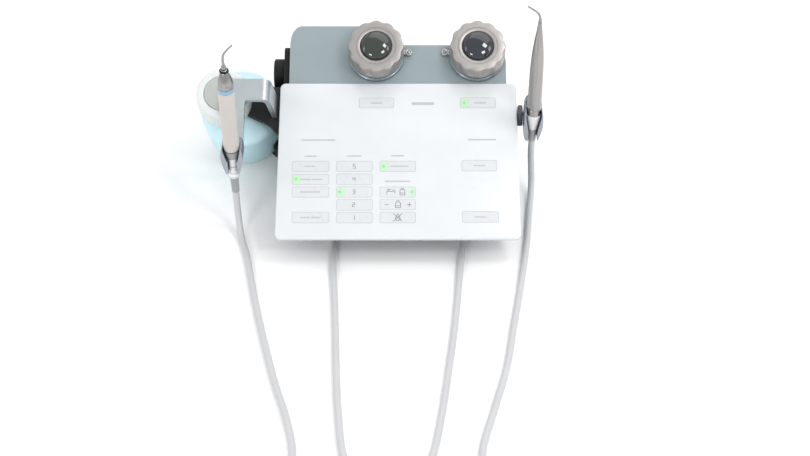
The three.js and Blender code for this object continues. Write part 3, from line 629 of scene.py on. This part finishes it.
WORDS = [
    (-29, -17, 156.3, 2.4, 1), (80, 93, 156.5, 2.4, 1), (14, 38, 155.6, 5.0, 1),
    (-101.4, -65.9, 112.5, 2.6, 1), (72.9, 102.2, 113.0, 2.6, 1),
    (-97.1, -84.7, 93.6, 2.2, 1), (-53.1, -37.9, 93.8, 2.2, 1), (-7.4, 6.1, 94.2, 2.4, 1),
    (-13.5, 12.3, 64.8, 2.4, 1), (-97, -86, 82.0, 2.0, 1), (-101, -78, 67.0, 2.2, 2),
    (-101, -80, 52.6, 2.2, 1),
    (-100, -79, 23.9, 2.2, 2), (-8, 11, 82.0, 2.2, 1), (78, 90, 82.8, 2.0, 1), (78, 90, 24.5, 2.0, 1),
]
ICONS = [
    [(-11.5, 50.2), (-11.5, 53.4), (-5.0, 53.4), (-5.0, 55.4)], [(-9.5, 53.4), (-9.5, 55.6)],
    [(-11.5, 55.6), (-7.5, 55.6)], [(-3.4, 51.6), (-3.4, 55.0)],
    [(2.0, 49.2), (7.0, 49.2), (7.0, 54.4), (5.8, 55.4), (3.2, 55.4), (2.0, 54.4), (2.0, 49.2)],
    [(3.0, 56.8), (6.0, 56.8)], [(2.6, 51.4), (6.4, 51.4)],
    [(-13.4, 38.5), (-10.0, 38.5)], [(9.4, 38.5), (13.6, 38.5)], [(11.5, 36.4), (11.5, 40.6)],
    [(-2.5, 34.9), (2.5, 34.9), (2.5, 40.2), (1.3, 41.2), (-1.3, 41.2), (-2.5, 40.2), (-2.5, 34.9)],
    [(-1.5, 42.6), (1.5, 42.6)], [(-1.9, 37.2), (1.9, 37.2)],
    [(-4.6, 19.8), (4.2, 28.2)], [(-4.6, 28.2), (4.2, 19.8)],
    [(-2.6, 22.4), (-2.2, 24.4), (-0.2, 28.0), (1.8, 24.4), (2.2, 22.4), (1.2, 20.6), (-1.6, 20.6),
    (-2.6, 22.4)],
]
SEGMENTS = {
    "top": ((0, 6), (3, 6)), "middle": ((0, 3), (3, 3)), "bottom": ((0, 0), (3, 0)),
    "upper_left": ((0, 3), (0, 6)), "upper_right": ((3, 3), (3, 6)),
    "lower_left": ((0, 0), (0, 3)), "lower_right": ((3, 0), (3, 3)),
}
DIGITS = [
    ("top upper_left middle lower_right bottom", 79.8), ("upper_left upper_right middle lower_right", 65.0),
    ("top upper_right middle lower_right bottom", 50.5), ("top upper_right middle lower_left bottom", 35.9),
    ("upper_right lower_right", 21.5),
]

DIGIT_X, DIGIT_SIZE = -46.6, 0.75

digits = []
for names, low in DIGITS:
    for name in names.split():
        line = [(DIGIT_X + x * DIGIT_SIZE, low + y * DIGIT_SIZE) for x, y in SEGMENTS[name]]
        digits.append(stroke(line, 0.55))
fields = merged(*[flat(rectangle(*box, FIELD_R), 0.005, 0.03) for box in FIELDS])
lines = merged(*[border(*box) for box in FIELDS])
words = merged(*[word(x0, x1, y, height * 0.62, parts) for x0, x1, y, height, parts in WORDS])
ink = merged(*[stroke(points, 0.6) for points in ICONS], *digits)
LIT = [(66.4, 75.0, 151.4, 161.6), (-108.3, -100.0, 62.2, 71.9), (-62.2, -54.0, 47.8, 57.6),
       (-17.9, -10.0, 77.1, 86.9), (10.8, 17.1, 47.8, 57.4)]
lit = merged(*[flat(rectangle(*box, 1.2), 0.02, 0.05) for box in LIT])
lamps = merged(*[flat(circle(1.5, x, y, 20), PRINT_LOW, 0.14) for x, y in LAMPS])
make("panel_print", [moved(s, SLOPE) for s in (fields, lines, words, ink, lit, lamps)],
     ["field", "print", "print", "ink", "lit", "led"], "root")

# ---------------------------------------------------------------- housing


def under_panel(y):
    """Height of the housing's top under the panel, which is 6 mm thick with its carrier."""
    slope = math.radians(PANEL_TILT)
    return PANEL_Z - (6.0 + GAP) / math.cos(slope) + y * math.tan(slope)


def deck_height(y):
    return DECK_Z + (y - DECK_Y) * math.tan(math.radians(DECK_TILT))


def side_view(rear, inset):
    front = BODY_FRONT + inset
    back = rear - inset
    step = PANEL_L * math.cos(math.radians(PANEL_TILT)) + 2 + inset
    panel_drop = inset / math.cos(math.radians(PANEL_TILT))
    deck_drop = inset / math.cos(math.radians(DECK_TILT))
    corners = [
        (front, BOTTOM - inset), (back, BOTTOM - inset),
        (back, deck_height(back) - deck_drop, 6 - inset), (step, deck_height(step) - deck_drop, 0.8),
        (step + 1.3, under_panel(step + 1.3) - panel_drop), (front, under_panel(front) - panel_drop, 1),
    ]
    return rounded(corners, 10)


def plan_view(inset):
    r = 22 - inset
    left, right = BODY_LEFT + inset, BODY_RIGHT - inset
    corners = [
        (left, BODY_FRONT + inset, 8 - inset), (right, BODY_FRONT + inset, 8 - inset),
        (right, REAR_RIGHT - inset, r), (BODY_STEP - inset, REAR_RIGHT - inset, 2),
        (BODY_STEP - inset, REAR_LEFT - inset, 6 - inset), (left, REAR_LEFT - inset, r),
    ]
    return rounded(corners, 12)


def housing_block(inset):
    left = prism(side_view(REAR_LEFT, inset), BODY_LEFT - 1, BODY_STEP, "X")
    right = prism(side_view(REAR_RIGHT, inset), BODY_STEP - 1, BODY_RIGHT + 1, "X")
    return carved(left, ("UNION", right), ("INTERSECT", prism(plan_view(inset), 0, 200)))


outer = housing_block(0)
below = prism(rectangle(-150, 150, 0, 260), -9, BOTTOM)
shell_steps = [("DIFFERENCE", housing_block(WALL)), ("DIFFERENCE", below)]
for _, x, _ in CHAMBERS:
    deck = place(x, DECK_Y, DECK_Z, DECK_TILT)
    pocket = carved(moved(disc(JAR_R + 3.4, -JAR_DEPTH - 6, 0.01), deck), ("INTERSECT", outer))
    shell_steps.append(("UNION", pocket))
    shell_steps.append(("DIFFERENCE", moved(disc(JAR_R + 1.1, -JAR_DEPTH - 2, 30), deck)))
slope_window = moved(slab(-93, 93, 61, 143, -30, 5, 3, 0.1), SLOPE)
rear_window = prism(rectangle(-99, -55.5, 20, 108, 1.5), REAR_LEFT - 8, REAR_LEFT + 5, "Y")
shaft_hole = moved(disc(4.5, BODY_LEFT - 5, BODY_LEFT + 8, 32), place(0, PUMP_Y, PUMP_Z) @ ALONG_X)
shell_steps += [("DIFFERENCE", slope_window), ("DIFFERENCE", rear_window), ("DIFFERENCE", shaft_hole)]
for x in (-68, 66):
    hole = moved(disc(5.2, BODY_FRONT - 5, BODY_FRONT + 6, 32), place(x, 0, 14) @ ALONG_Y)
    shell_steps.append(("DIFFERENCE", hole))
shell = carved(outer, *shell_steps)
make("housing", shell, "paint", "root", ("upper_housing",), edge=0.7, sharp=32)

FEET = (("front_left", -98, 70), ("front_right", 97, 70), ("rear_left", -98, 204), ("rear_right", 97, 188))
foot = turned([(0, 0), (6.6, 0, 0.6), (7.9, 1.6, 0.5), (8, 5.7, 0.2), (0, 5.7)], 48)
for name, x, y in FEET:
    standing = moved(foot, place(x, y, 0))
    make("rubber_" + name, standing, "rubber", "root", ("foot_" + name,))

# ---------------------------------------------------------------- powder chambers


SCOOPS, SCOOP_DEPTH = 12, 1.9
DOME_R, DOME_RISE, DOME_STEPS = 15.5, 5.4, 12


def scoop(angle):
    """0 between the scoops and 1 in their middles."""
    return (0.5 - 0.5 * math.cos(angle * SCOOPS)) ** 1.4


def cap_shell():
    """A hollow round cap whose top edge is scooped out all round, with a round window."""
    segments = 288
    profile = [
        (CAP_BORE, CAP_LOW + 0.4, 0), (CAP_BORE + 0.6, CAP_LOW, 0), (CAP_R + 0.4, CAP_LOW, 0),
        (CAP_R + 1.2, CAP_LOW + 0.8, 0), (CAP_R + 1.2, CAP_LOW + 2.6, 0), (CAP_R + 1.1, CAP_LOW + 4, 0.25),
        (CAP_R + 1.0, CAP_LOW + 6, 0.6), (CAP_R + 0.9, CAP_LOW + 10, 0.8),
        (CAP_R + 0.7, CAP_HIGH - 1.6, 0.85),
        (CAP_R + 0.4, CAP_HIGH - 0.7, 0.85), (CAP_R - 0.1, CAP_HIGH - 0.2, 0.8),
        (CAP_R - 0.9, CAP_HIGH, 0.75),
        (22.6, CAP_HIGH, 0), (21.4, CAP_HIGH, 0),
        (20.9, CAP_HIGH - 0.5, 0), (20.3, CAP_HIGH - 0.5, 0), (19.8, CAP_HIGH, 0), (18.0, CAP_HIGH, 0),
        (17.2, CAP_HIGH - 0.3, 0), (CAP_WINDOW, CAP_HIGH - 2.0, 0), (CAP_WINDOW, CAP_HIGH - 4.6, 0),
        (CAP_BORE, CAP_HIGH - 4.6, 0),
    ]
    rings = []
    for radius, height, depth in profile:
        skin = []
        for i in range(segments):
            angle = 2 * math.pi * i / segments
            r = radius - SCOOP_DEPTH * depth * scoop(angle)
            skin.append((r * math.cos(angle), r * math.sin(angle), height))
        rings.append(skin)
    return stack(rings, wrap=True)


for side, x, ear in CHAMBERS:
    deck = place(x, DECK_Y, DECK_Z, DECK_TILT)
    inner = JAR_R - 2
    jar = turned([
        (0, -60), (22.5, -60, 2), (27.5, -54, 4), (27.5, -3.5, 1.5), (NECK_R, -0.8, 1),
        (NECK_R, NECK_TOP, 0.6),
        (NECK_R - 2.6, NECK_TOP, 0.6), (NECK_R - 2.6, -2, 1), (inner, -5.5, 1), (inner, -53, 4),
        (20.5, -57.8, 2),
        (0, -57.8),
    ], 96)
    make("jar_" + side, moved(jar, deck), "jar", "root", ("powder_jar_" + side,))
    low = NECK_R + 0.6
    flange_top = CAP_LOW - 0.4
    flange = lathe(rounded([
        (low, GAP, 0.2), (30, GAP, 0.4), (30, 3.2, 1.0), (27.8, 4, 0.6), (27.6, flange_top, 0.6),
        (low, flange_top, 0.4),
    ], 4), 96, wrap=True)
    lug_ends = sorted((ear * 27, ear * 33))
    lug = slab(*lug_ends, -2.4, 2.4, 1, 3.6, 0.4, 0.35)
    eye_at = Matrix.Translation((ear * 34.4, 0, 0))
    eye = moved(ring(1.7, 3.8, 0.8, 3.8, 0.5, 32), eye_at)
    screw = moved(turned([(0, 0.9), (1.6, 0.9), (1.6, 4.1, 0.4), (0, 4.5)], 24), eye_at)
    tilt = Matrix.Rotation(math.radians(5 if ear > 0 else -5), 4, "Z")
    make("collar_" + side, [moved(s, deck @ tilt) for s in (flange, merged(lug, eye), screw)],
         ["collar", "chrome", "steel"], "root", ("chamber_collar_" + side,))
    body = "cap_" + side
    shell = moved(cap_shell(), deck)
    make("cap_shell_" + side, shell, "cap", body, ("cap_ring_" + side,), sharp=28)
    lens = [(0, 20.7), (19, 20.7, 0.3), (19, 22.3, 0.3), (DOME_R, 22.3, 0.2), (DOME_R, CAP_HIGH + 0.2, 0.3)]
    dome = rounded(lens, 3, closed=False)
    for i in range(1, DOME_STEPS + 1):
        angle = math.radians(90 * i / DOME_STEPS)
        radius = DOME_R * math.cos(angle) if i < DOME_STEPS else 0
        dome.append((radius, CAP_HIGH + 0.3 + DOME_RISE * math.sin(angle)))
    # A near-black ring filling the groove round the dome: painted shade of that groove.
    groove_shade_ring = ring(DOME_R, 16.4, CAP_HIGH - 2.2, CAP_HIGH - 0.5, 0.3, 96)
    make("cap_dome_" + side, [moved(lathe(dome, 96), deck), moved(groove_shade_ring, deck)],
         ["dome_" + side, "groove_shade_look"], body, ("cap_window_" + side,))

# ---------------------------------------------------------------- pump

pump = place(0, PUMP_Y, PUMP_Z, DECK_TILT) @ ALONG_X
plate_end = BODY_LEFT - GAP
plate = slab(-24, 24, -24, 24, plate_end - 6, plate_end, 8, 1.2, 10)
hub = disc(4.5, plate_end - 12, plate_end + 5, 32)
plate = moved(carved(plate, ("DIFFERENCE", hub)), pump)
make("pump_base", plate, "black", "root", ("pump_plate",))
drum_end = plate_end - 6 - GAP
drum_face = drum_end - 11.6
groove = drum_end - 11.0
drum = turned([
    (0, drum_face), (9, drum_face, 0.3), (9.4, groove, 0.2), (10.4, groove, 0.2), (10.8, drum_face, 0.3),
    (17, drum_face, 2.6), (17, drum_end, 0.4), (15, drum_end, 0.3),
    (15, drum_end - 9.6, 0.5), (0, drum_end - 9.6),
], 96)
make("pump_drum", moved(drum, pump), "black", "root", ("pump_cover",))

# ---------------------------------------------------------------- water bottle

BOTTLE = place(*BOTTLE_AT, DECK_TILT)
BOTTLE_WALL = 1.6


def bottle_solid():
    """An upright bottle whose neck stands off its middle, with a lip at its mouth."""
    outside = [
        (30, 0, 0), (36.2, 0.4, 0), (39.4, 1.8, 0), (41.0, 4.6, 0), (41.4, 8, 0), (41.9, 24, 0),
        (42.5, 44, 0),
        (43.1, 60, 0), (43.2, 62.5, 0), (42.9, 64.8, -0.1), (42.0, 66.6, -0.4), (40.3, 68.0, -1.0),
        (36.6, 69.6, -4.2), (32.0, 71.2, -8.6), (28.0, 72.6, -12.6), (25.8, 73.8, -14.6), (24.4, 75.0, -15),
        (24.0, 76.6, -15), (24.0, 95.4, -15), (23.6, 96, -15),
    ]
    inside = [(22.8, 96, -15), (22.4, 95.4, -15)]
    for radius, height, shift in reversed(outside[1:-2]):
        lower = 1.2 if height > 62 else 0
        raised = BOTTLE_WALL if height < 10 else 0
        inside.append((radius - BOTTLE_WALL, max(height - lower, 0) + raised, shift))
    inside.append((28, 1.7, 0))
    rings = []
    for radius, height, shift in outside + inside:
        rings.append([(shift + u, v, height) for u, v in circle(radius, steps=96)])
    return stack(rings)


neck_at = BOTTLE @ Matrix.Translation((BOTTLE_NECK_X, 0, 0))
make("bottle_shell", moved(bottle_solid(), BOTTLE), "bottle", "bottle", ("water_bottle",),
     sharp=50)

RIBS, RIB_DEPTH = 48, 0.45


def bottle_cap_solid():
    """A hollow ribbed screw cap with a round hole in its top."""
    segments = 288
    profile = [
        (25, 82.4, 0), (25.4, 82, 0), (28.2, 82, 0.6), (28.6, 82.6, 1), (28.4, 88, 1), (28.1, 100, 1),
        (27.9, 104.6, 0.7),
        (27.6, 106.2, 0), (26.9, 107.8, 0), (25.6, 108.8, 0), (24, 109, 0), (20.6, 109, 0),
        (19.6, 108.7, 0),
        (19.3, 107.4, 0), (4.5, 107.4, 0), (4.5, 105, 0), (25, 105, 0),
    ]
    rings = []
    for radius, height, rib in profile:
        skin = []
        for i in range(segments):
            angle = 2 * math.pi * i / segments
            r = radius - RIB_DEPTH * rib * (0.5 + 0.5 * math.cos(angle * RIBS))
            skin.append((r * math.cos(angle), r * math.sin(angle), height))
        rings.append(skin)
    return stack(rings, wrap=True)


make("frosted_cap", moved(bottle_cap_solid(), neck_at), "frost", "bottle_cap", ("bottle_cap",))
button = turned([
    (0, 100), (4.2, 100, 0.3), (4.2, 107.7, 0.2), (18.9, 107.7, 0.3), (18.9, 109.6, 0.8),
    (16.2, 109.6, 0.4),
    (15.7, 109.2, 0.2), (15.1, 109.2, 0.2), (14.6, 109.6, 0.3), (0, 109.5),
], 96)
make("cap_button", moved(button, neck_at), "stopper", "bottle_cap_carrier", ("cap_stopper",))

# ---------------------------------------------------------------- holders

CLEARANCE = 0.5
SCALER_LOWER = [
    (6, 70.3), (6, 76), (4.2, 76.4), (4.2, 94.5), (5.2, 94.8), (7.5, 104.7), (8.2, 108), (8.2, 125),
]
POLISHER_LOWER = [(4.2, 70), (4.2, 84.7), (4.2, 85), (7.7, 104.6), (7.5, 109), (7.4, 125)]


def fork(x, y, lower, low, high, shift=0.0):
    """Two prongs around a handpiece's lower end, open to the front."""
    half = 11.7
    left, right = x + shift - half, x + shift + half
    front = rounded([
        (left + 1.5, high, 6), (left, low + 18, 12), (left + 5, low, 2.2),
        (right - 5, low, 2.2), (right, low + 18, 12), (right - 1.5, high, 6),
    ], 8)
    grown = [(lower[0][0] + CLEARANCE, low - 20)]
    grown += [(radius + CLEARANCE, z) for radius, z in lower]
    grown.append((grown[-1][0], 200))
    bore = moved(lathe([(0, low - 20)] + grown + [(0, 200)], 64), place(x, y, 0))
    outline = [(x + r, z) for r, z in grown] + [(x - r, z) for r, z in reversed(grown)]
    return carved(prism(front, y - 8, y + 12, "Y"), ("DIFFERENCE", bore),
                  ("DIFFERENCE", prism(outline, y - 40, y, "Y")))


def scaler_arm():
    """A bent arm from the housing to the leg that carries the fork, and the fork itself."""
    plane = place(0, ARM_Y, ARM_Z, ARM_TILT)
    seven = rounded([
        (-178, -72, 1), (-158, -72, 1), (-158, -12, 5), (-146, -12), (-146, 12), (-178, 12, 9),
    ], 10)
    top = moved(prism(seven, -5, 0), plane)
    clear = moved(disc(8.8, 60, 240), place(SCALER_X, SCALER_Y, 0))
    reach = prism(rectangle(-183, -153, 10, SCALER_Y + 4), 60, 200)
    bend = rounded([
        (-150, 0), (-133, 0, 11), (-126.6, -56), (-131.8, -56), (-138, -5, 6), (-150, -5),
    ], 10)
    strip = moved(prism(bend, -12, 12, "Y"), plane)
    leg = carved(top, ("DIFFERENCE", clear), ("DIFFERENCE", reach))
    prongs = fork(SCALER_X, SCALER_Y, SCALER_LOWER, 78, 112)
    return [carved(leg, ("UNION", strip)), prongs]


make("scaler_arm", scaler_arm(), ["alloy", "grip"], "root", ("scaler_holder",),
     edge=0.9, sharp=30)


def polisher_fork():
    """A fork on a flat back that stands beside the ribbed block."""
    prongs = fork(POLISHER_X, POLISHER_Y, POLISHER_LOWER, 74, 112, -1.2)
    prongs = carved(prongs, ("DIFFERENCE", prism(rectangle(120, 131.3, 100, 140), 60, 130)))
    back = rounded([
        (131.3, 84, 2), (150, 84, 6), (150, 112, 3), (146, 120, 4), (135, 120, 4), (131.3, 112, 3),
    ], 8)
    clear = moved(disc(8.3, 60, 240), place(POLISHER_X, POLISHER_Y, 0))
    bridge = carved(prism(back, 124, POLISHER_Y + 13, "Y"), ("DIFFERENCE", clear))
    return carved(prongs, ("UNION", bridge))


make("polisher_fork", polisher_fork(), "grip", "root", ("polisher_holder",),
     edge=0.9, sharp=30)
BLOCK_END = 131
block = [
    slab(BODY_RIGHT + GAP, BLOCK_END, 130, 140, 77, 85, 2, 0.8),
    slab(126.2, BLOCK_END, 126, 140, 80, 98, 1.5, 0.8),
]
for i in range(4):
    block.append(slab(125.6, BLOCK_END, 127 + i * 3.3, 128.8 + i * 3.3, 84, 97, 0.6, 0.4))
make("ribbed_post", merged(*block), "ribbed", "root", ("holder_block",))

# ---------------------------------------------------------------- handpieces


def handpiece_part(name, corners, key, body, at, node, extra=()):
    """A turned piece of a handpiece; extra is more solids, each with its own look."""
    solids = [moved(turned(corners), at)]
    keys = [key]
    for solid, solid_key in extra:
        solids.append(moved(solid, at))
        keys.append(solid_key)
    make(name, solids, keys, body, (node,))


RIB_STEP, RIB_ROOT = 2.5, 3.75

SCALER = place(SCALER_X, SCALER_Y, 0)
relief = [(0, 49.6), (3.7, 49.6, 0.3)]
for i in range(7):
    crest, up = 4.0 + 0.05 * i, RIB_STEP * i
    relief += [(crest, 50.4 + up, 0.2), (crest, 52 + up, 0.2), (RIB_ROOT, 52.2 + up, 0.1)]
relief += [(4.4, 68.4, 0.2), (4.4, 70, 0.3), (0, 70)]
handpiece_part("scaler_relief", relief, "grey", "scaler_handpiece", SCALER, "scaler_strain_relief")
handpiece_part("scaler_plug", [
    (0, 70.3), (6, 70.3, 0.6), (6, 76, 0.8), (4.3, 76.4, 0.3), (4.2, 80, 0.1), (4.2, 94.5, 0.3), (0, 94.5),
], "white", "scaler_handpiece", SCALER, "scaler_connector",
    [(ring(4.1, 6.1, 71.5, 72.2, 0.2), "grey"), (ring(4.0, 4.35, 84, 84.8, 0.1), "grey")])
handpiece_part("scaler_cone", [
    (0, 94.8), (5.2, 94.8, 0.3), (7.5, 104.7, 0.3), (0, 104.7),
], "grey", "scaler_handpiece", SCALER, "scaler_swivel")
handpiece_part("scaler_grip", [
    (0, 105), (7.5, 105, 0.3), (8.2, 108, 1.2), (8.2, 112, 0.2), (8.05, 112.4, 0.1), (8.05, 113, 0.1),
    (8.2, 113.4, 0.2),
    (8.25, 140, 0), (8.2, 178.2, 0.4), (0, 178.2),
], "sleeve", "scaler_handpiece", SCALER, "scaler_sleeve",
    [(ring(7.0, 7.75, 104.9, 106.2, 0.2), "rubber")])
handpiece_part("scaler_ring", [
    (0, 178.5), (8.25, 178.5, 0.3), (8.25, 182.7, 0.3), (0, 182.7),
], "ring", "scaler_handpiece", SCALER, "scaler_light_ring")
handpiece_part("scaler_head", [
    (0, 183), (8.1, 183, 0.4), (7.95, 188, 2), (6.7, 194, 3), (4.2, 200.4, 1), (3.9, 200.8, 0.1),
    (3.4, 203.6, 0.2),
    (2.6, 204.2, 0.3), (0, 204.2),
], "steel", "scaler_handpiece", SCALER, "scaler_nose",
    [(ring(3.2, 4.6, 201.0, 203.4, 0.4), "black")])
tip_line = smooth_line([(-168, 57, 206), (-168.3, 57, 213), (-167.7, 57, 219.5), (-165, 57, 224.6),
                        (-158.3, 57, 232.2)], 0.8)
tip_radii = [1.55 - 0.75 * (i / (len(tip_line) - 1)) ** 0.8 for i in range(len(tip_line))]
tip_root = turned([
    (0, 204.5), (2.4, 204.5, 0.2), (2.4, 205.6, 0.2), (2.1, 207, 0.3), (1.3, 211, 0.5), (0, 211.4),
], 40)
hexagon = moved(turned([(0, 205.6), (2.7, 205.6, 0.2), (2.7, 207.6, 0.2), (0, 207.6)], 6), SCALER)
make("scaler_tip_bent", merged(moved(tip_root, SCALER), hexagon, tube(tip_line, tip_radii)), "steel",
     "scaler_handpiece", ("scaler_tip",))

POLISHER = place(POLISHER_X, POLISHER_Y, 0)
relief = [(0, 69.6), (3.8, 69.6, 0.3)]
for i in range(5):
    up = RIB_STEP * i
    relief += [(4.05, 70.4 + up, 0.2), (4.05, 72 + up, 0.2), (RIB_ROOT, 72.2 + up, 0.1)]
relief += [(4.2, 83, 0.2), (4.2, 84.7, 0.3), (0, 84.7)]
handpiece_part("polisher_relief", relief, "grey", "polisher_handpiece", POLISHER, "polisher_strain_relief")
handpiece_part("polisher_plug", [
    (0, 85), (4.2, 85, 0.3), (5.3, 91, 1), (7.6, 103.2, 0.6), (7.7, 104.6, 0.3), (0, 104.6),
], "white", "polisher_handpiece", POLISHER, "polisher_coupling")
handpiece_part("polisher_barrel", [
    (0, 105), (7.5, 105, 0.3), (7.5, 111.4, 0.3), (7.25, 111.7, 0.1), (7.25, 112.4, 0.1),
    (7.45, 112.7, 0.2),
    (7.3, 124, 2), (7.15, 136, 4), (6.9, 160, 8), (6.2, 178, 8), (4.3, 198, 8), (2.6, 210, 4),
    (1.9, 218, 0.3),
    (0, 218),
], "steel", "polisher_handpiece", POLISHER, "polisher_body",
    [(ring(7.0, 7.42, 107.0, 107.6, 0.15), "black")])
nozzle_line = smooth_line([(141, 117, 219), (140.9, 117, 222), (140.3, 117, 225), (138.4, 117, 228.4),
                           (134, 117, 232.2), (128.1, 117, 236.2)], 0.8)
nozzle_radii = [1.25 - 0.4 * i / (len(nozzle_line) - 1) for i in range(len(nozzle_line))]
nozzle_root = moved(turned([(0, 218.3), (1.9, 218.3, 0.2), (1.7, 221, 0.4), (0, 221.2)], 40), POLISHER)
make("polisher_nozzle_bent", merged(nozzle_root, tube(nozzle_line, nozzle_radii)), "steel",
     "polisher_handpiece", ("polisher_nozzle",))

# ---------------------------------------------------------------- rear fittings


def rear_fitting(name, x, z, profile, key, node, extra=()):
    """A fitting turned about its own axis and set into the rear plate."""
    at = place(x, REAR_LEFT, z) @ ALONG_Y
    solids = [moved(lathe(rounded(profile, 3), 64, wrap=True), at)]
    keys = [key]
    for solid, solid_key in extra:
        solids.append(moved(solid, at))
        keys.append(solid_key)
    make(name, solids, keys, "root", (node,))


barbed = [
    (2.4, -9, 0.2), (4, -9, 0.4), (4, -0.1, 0), (8.2, -0.1, 0.3), (8.2, 2.4, 0.6), (4.4, 2.4, 0.2),
    (3.6, 4, 0.4),
]
for step in (5.0, 7.6, 10.2):
    barbed += [(4.0, step, 0.1), (3.3, step + 2.2, 0.2)]
barbed += [(3.0, 13, 0.3), (2.4, 13, 0.2)]
rear_fitting("air_spigot", -88, 92, barbed, "steel", "air_inlet")
rear_fitting("water_spigot", -67, 92, barbed, "steel", "water_inlet")
collar = [
    (4.6, -4, 0.2), (4.6, 5, 0.3), (6, 5, 0.4), (6, 2.4, 0.2), (8.2, 2.4, 0.6), (8.2, -0.1, 0.3),
    (6, -0.1, 0),
    (6, -9, 0.3), (4.9, -9, 0),
]
core = disc(4.9, -9, -4.2, 48)
pin = turned([(0, -4.4), (0.55, -4.4), (0.55, 1.2, 0.3), (0, 1.4)], 16)
pins = [moved(pin, Matrix.Translation((u, v, 0))) for u, v in ((0, 2.2), (1.9, -1.1), (-1.9, -1.1))]
rear_fitting("pedal_jack", -65, 60, collar, "black", "pedal_socket",
             [(core, "black"), (merged(*pins), "steel")])

# ---------------------------------------------------------------- nodes kept from the CAD

KEPT = {
    "bottle_clamp": ("black", 0.8), "bottle_cradle": ("black", 0.6), "mains_inlet": ("black", 0.4),
    "mains_switch": ("rubber", 0.4), "rear_plate": ("plate", 0.15), "base_tray": ("paint", 0.4),
    "control_board": ("board", 0.2), "generator_board": ("board", 0.3), "power_transformer": ("copper", 1.0),
    "valve_block": ("alloy", 0.5), "air_regulator": ("black", 0.8), "pump_motor": ("steel", 0.8),
    "pump_rotor": ("grey", 0.4), "cap_seal_left": ("rubber", 0.2), "cap_seal_right": ("rubber", 0.2),
}
for name, (key, width) in KEPT.items():
    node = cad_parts[name]
    if not node.material_slots:
        node.data.materials.append(None)
    for slot in node.material_slots:
        slot.material = L[key].material
    round_edges(node, width)

# ---------------------------------------------------------------- floor and light

floor_look = Look("floor", (0.93, 0.93, 0.93), 0.7, drift=(0.002, 8))
floor_mesh = bpy.data.meshes.new("floor")
FLOOR = 6.0
floor_corners = [(-FLOOR, -FLOOR, 0), (FLOOR, -FLOOR, 0), (FLOOR, FLOOR, 0), (-FLOOR, FLOOR, 0)]
floor_mesh.from_pydata(floor_corners, [], [(0, 1, 2, 3)])
floor_mesh.materials.append(floor_look.material)
floor = bpy.data.objects.new("floor", floor_mesh)
bpy.context.scene.collection.objects.link(floor)
floor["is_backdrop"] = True


def softbox(name, location, target, size, power):
    """A rectangular light turned to face target; the small low ones make the highlights on the domes."""
    data = bpy.data.lights.new(name, "AREA")
    data.shape = "RECTANGLE"
    data.size, data.size_y = size
    data.energy = power
    lamp = bpy.data.objects.new(name, data)
    lamp.location = location
    lamp.rotation_euler = (Vector(target) - Vector(location)).to_track_quat("-Z", "Y").to_euler()
    bpy.context.scene.collection.objects.link(lamp)


softbox("top", (0.5, 1.1, 2.0), (0, 0.05, 0.05), (2.6, 1.8), 13)
softbox("low_left", (-0.52, -0.89, 0.63), (0, 0.07, 0.13), (0.26, 0.3), 2.6)
softbox("low_right", (0.54, -0.64, 0.93), (0, 0.07, 0.13), (0.26, 0.3), 2.6)
softbox("high_right", (0.55, -0.15, 1.17), (0, 0.07, 0.13), (0.22, 0.3), 2.2)
softbox("right", (1.5, -0.3, 0.9), (0, 0, 0.1), (0.5, 1.0), 4)
softbox("left", (-1.6, -0.3, 0.8), (0, 0, 0.1), (0.4, 1.1), 3)

world = bpy.data.worlds.new("studio")
world.use_nodes = True
world.node_tree.nodes["Background"].inputs["Color"].default_value = (0.95, 0.95, 0.955, 1)
world.node_tree.nodes["Background"].inputs["Strength"].default_value = 0.84
bpy.context.scene.world = world
bpy.context.scene.view_settings.view_transform = "Standard"

low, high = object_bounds()
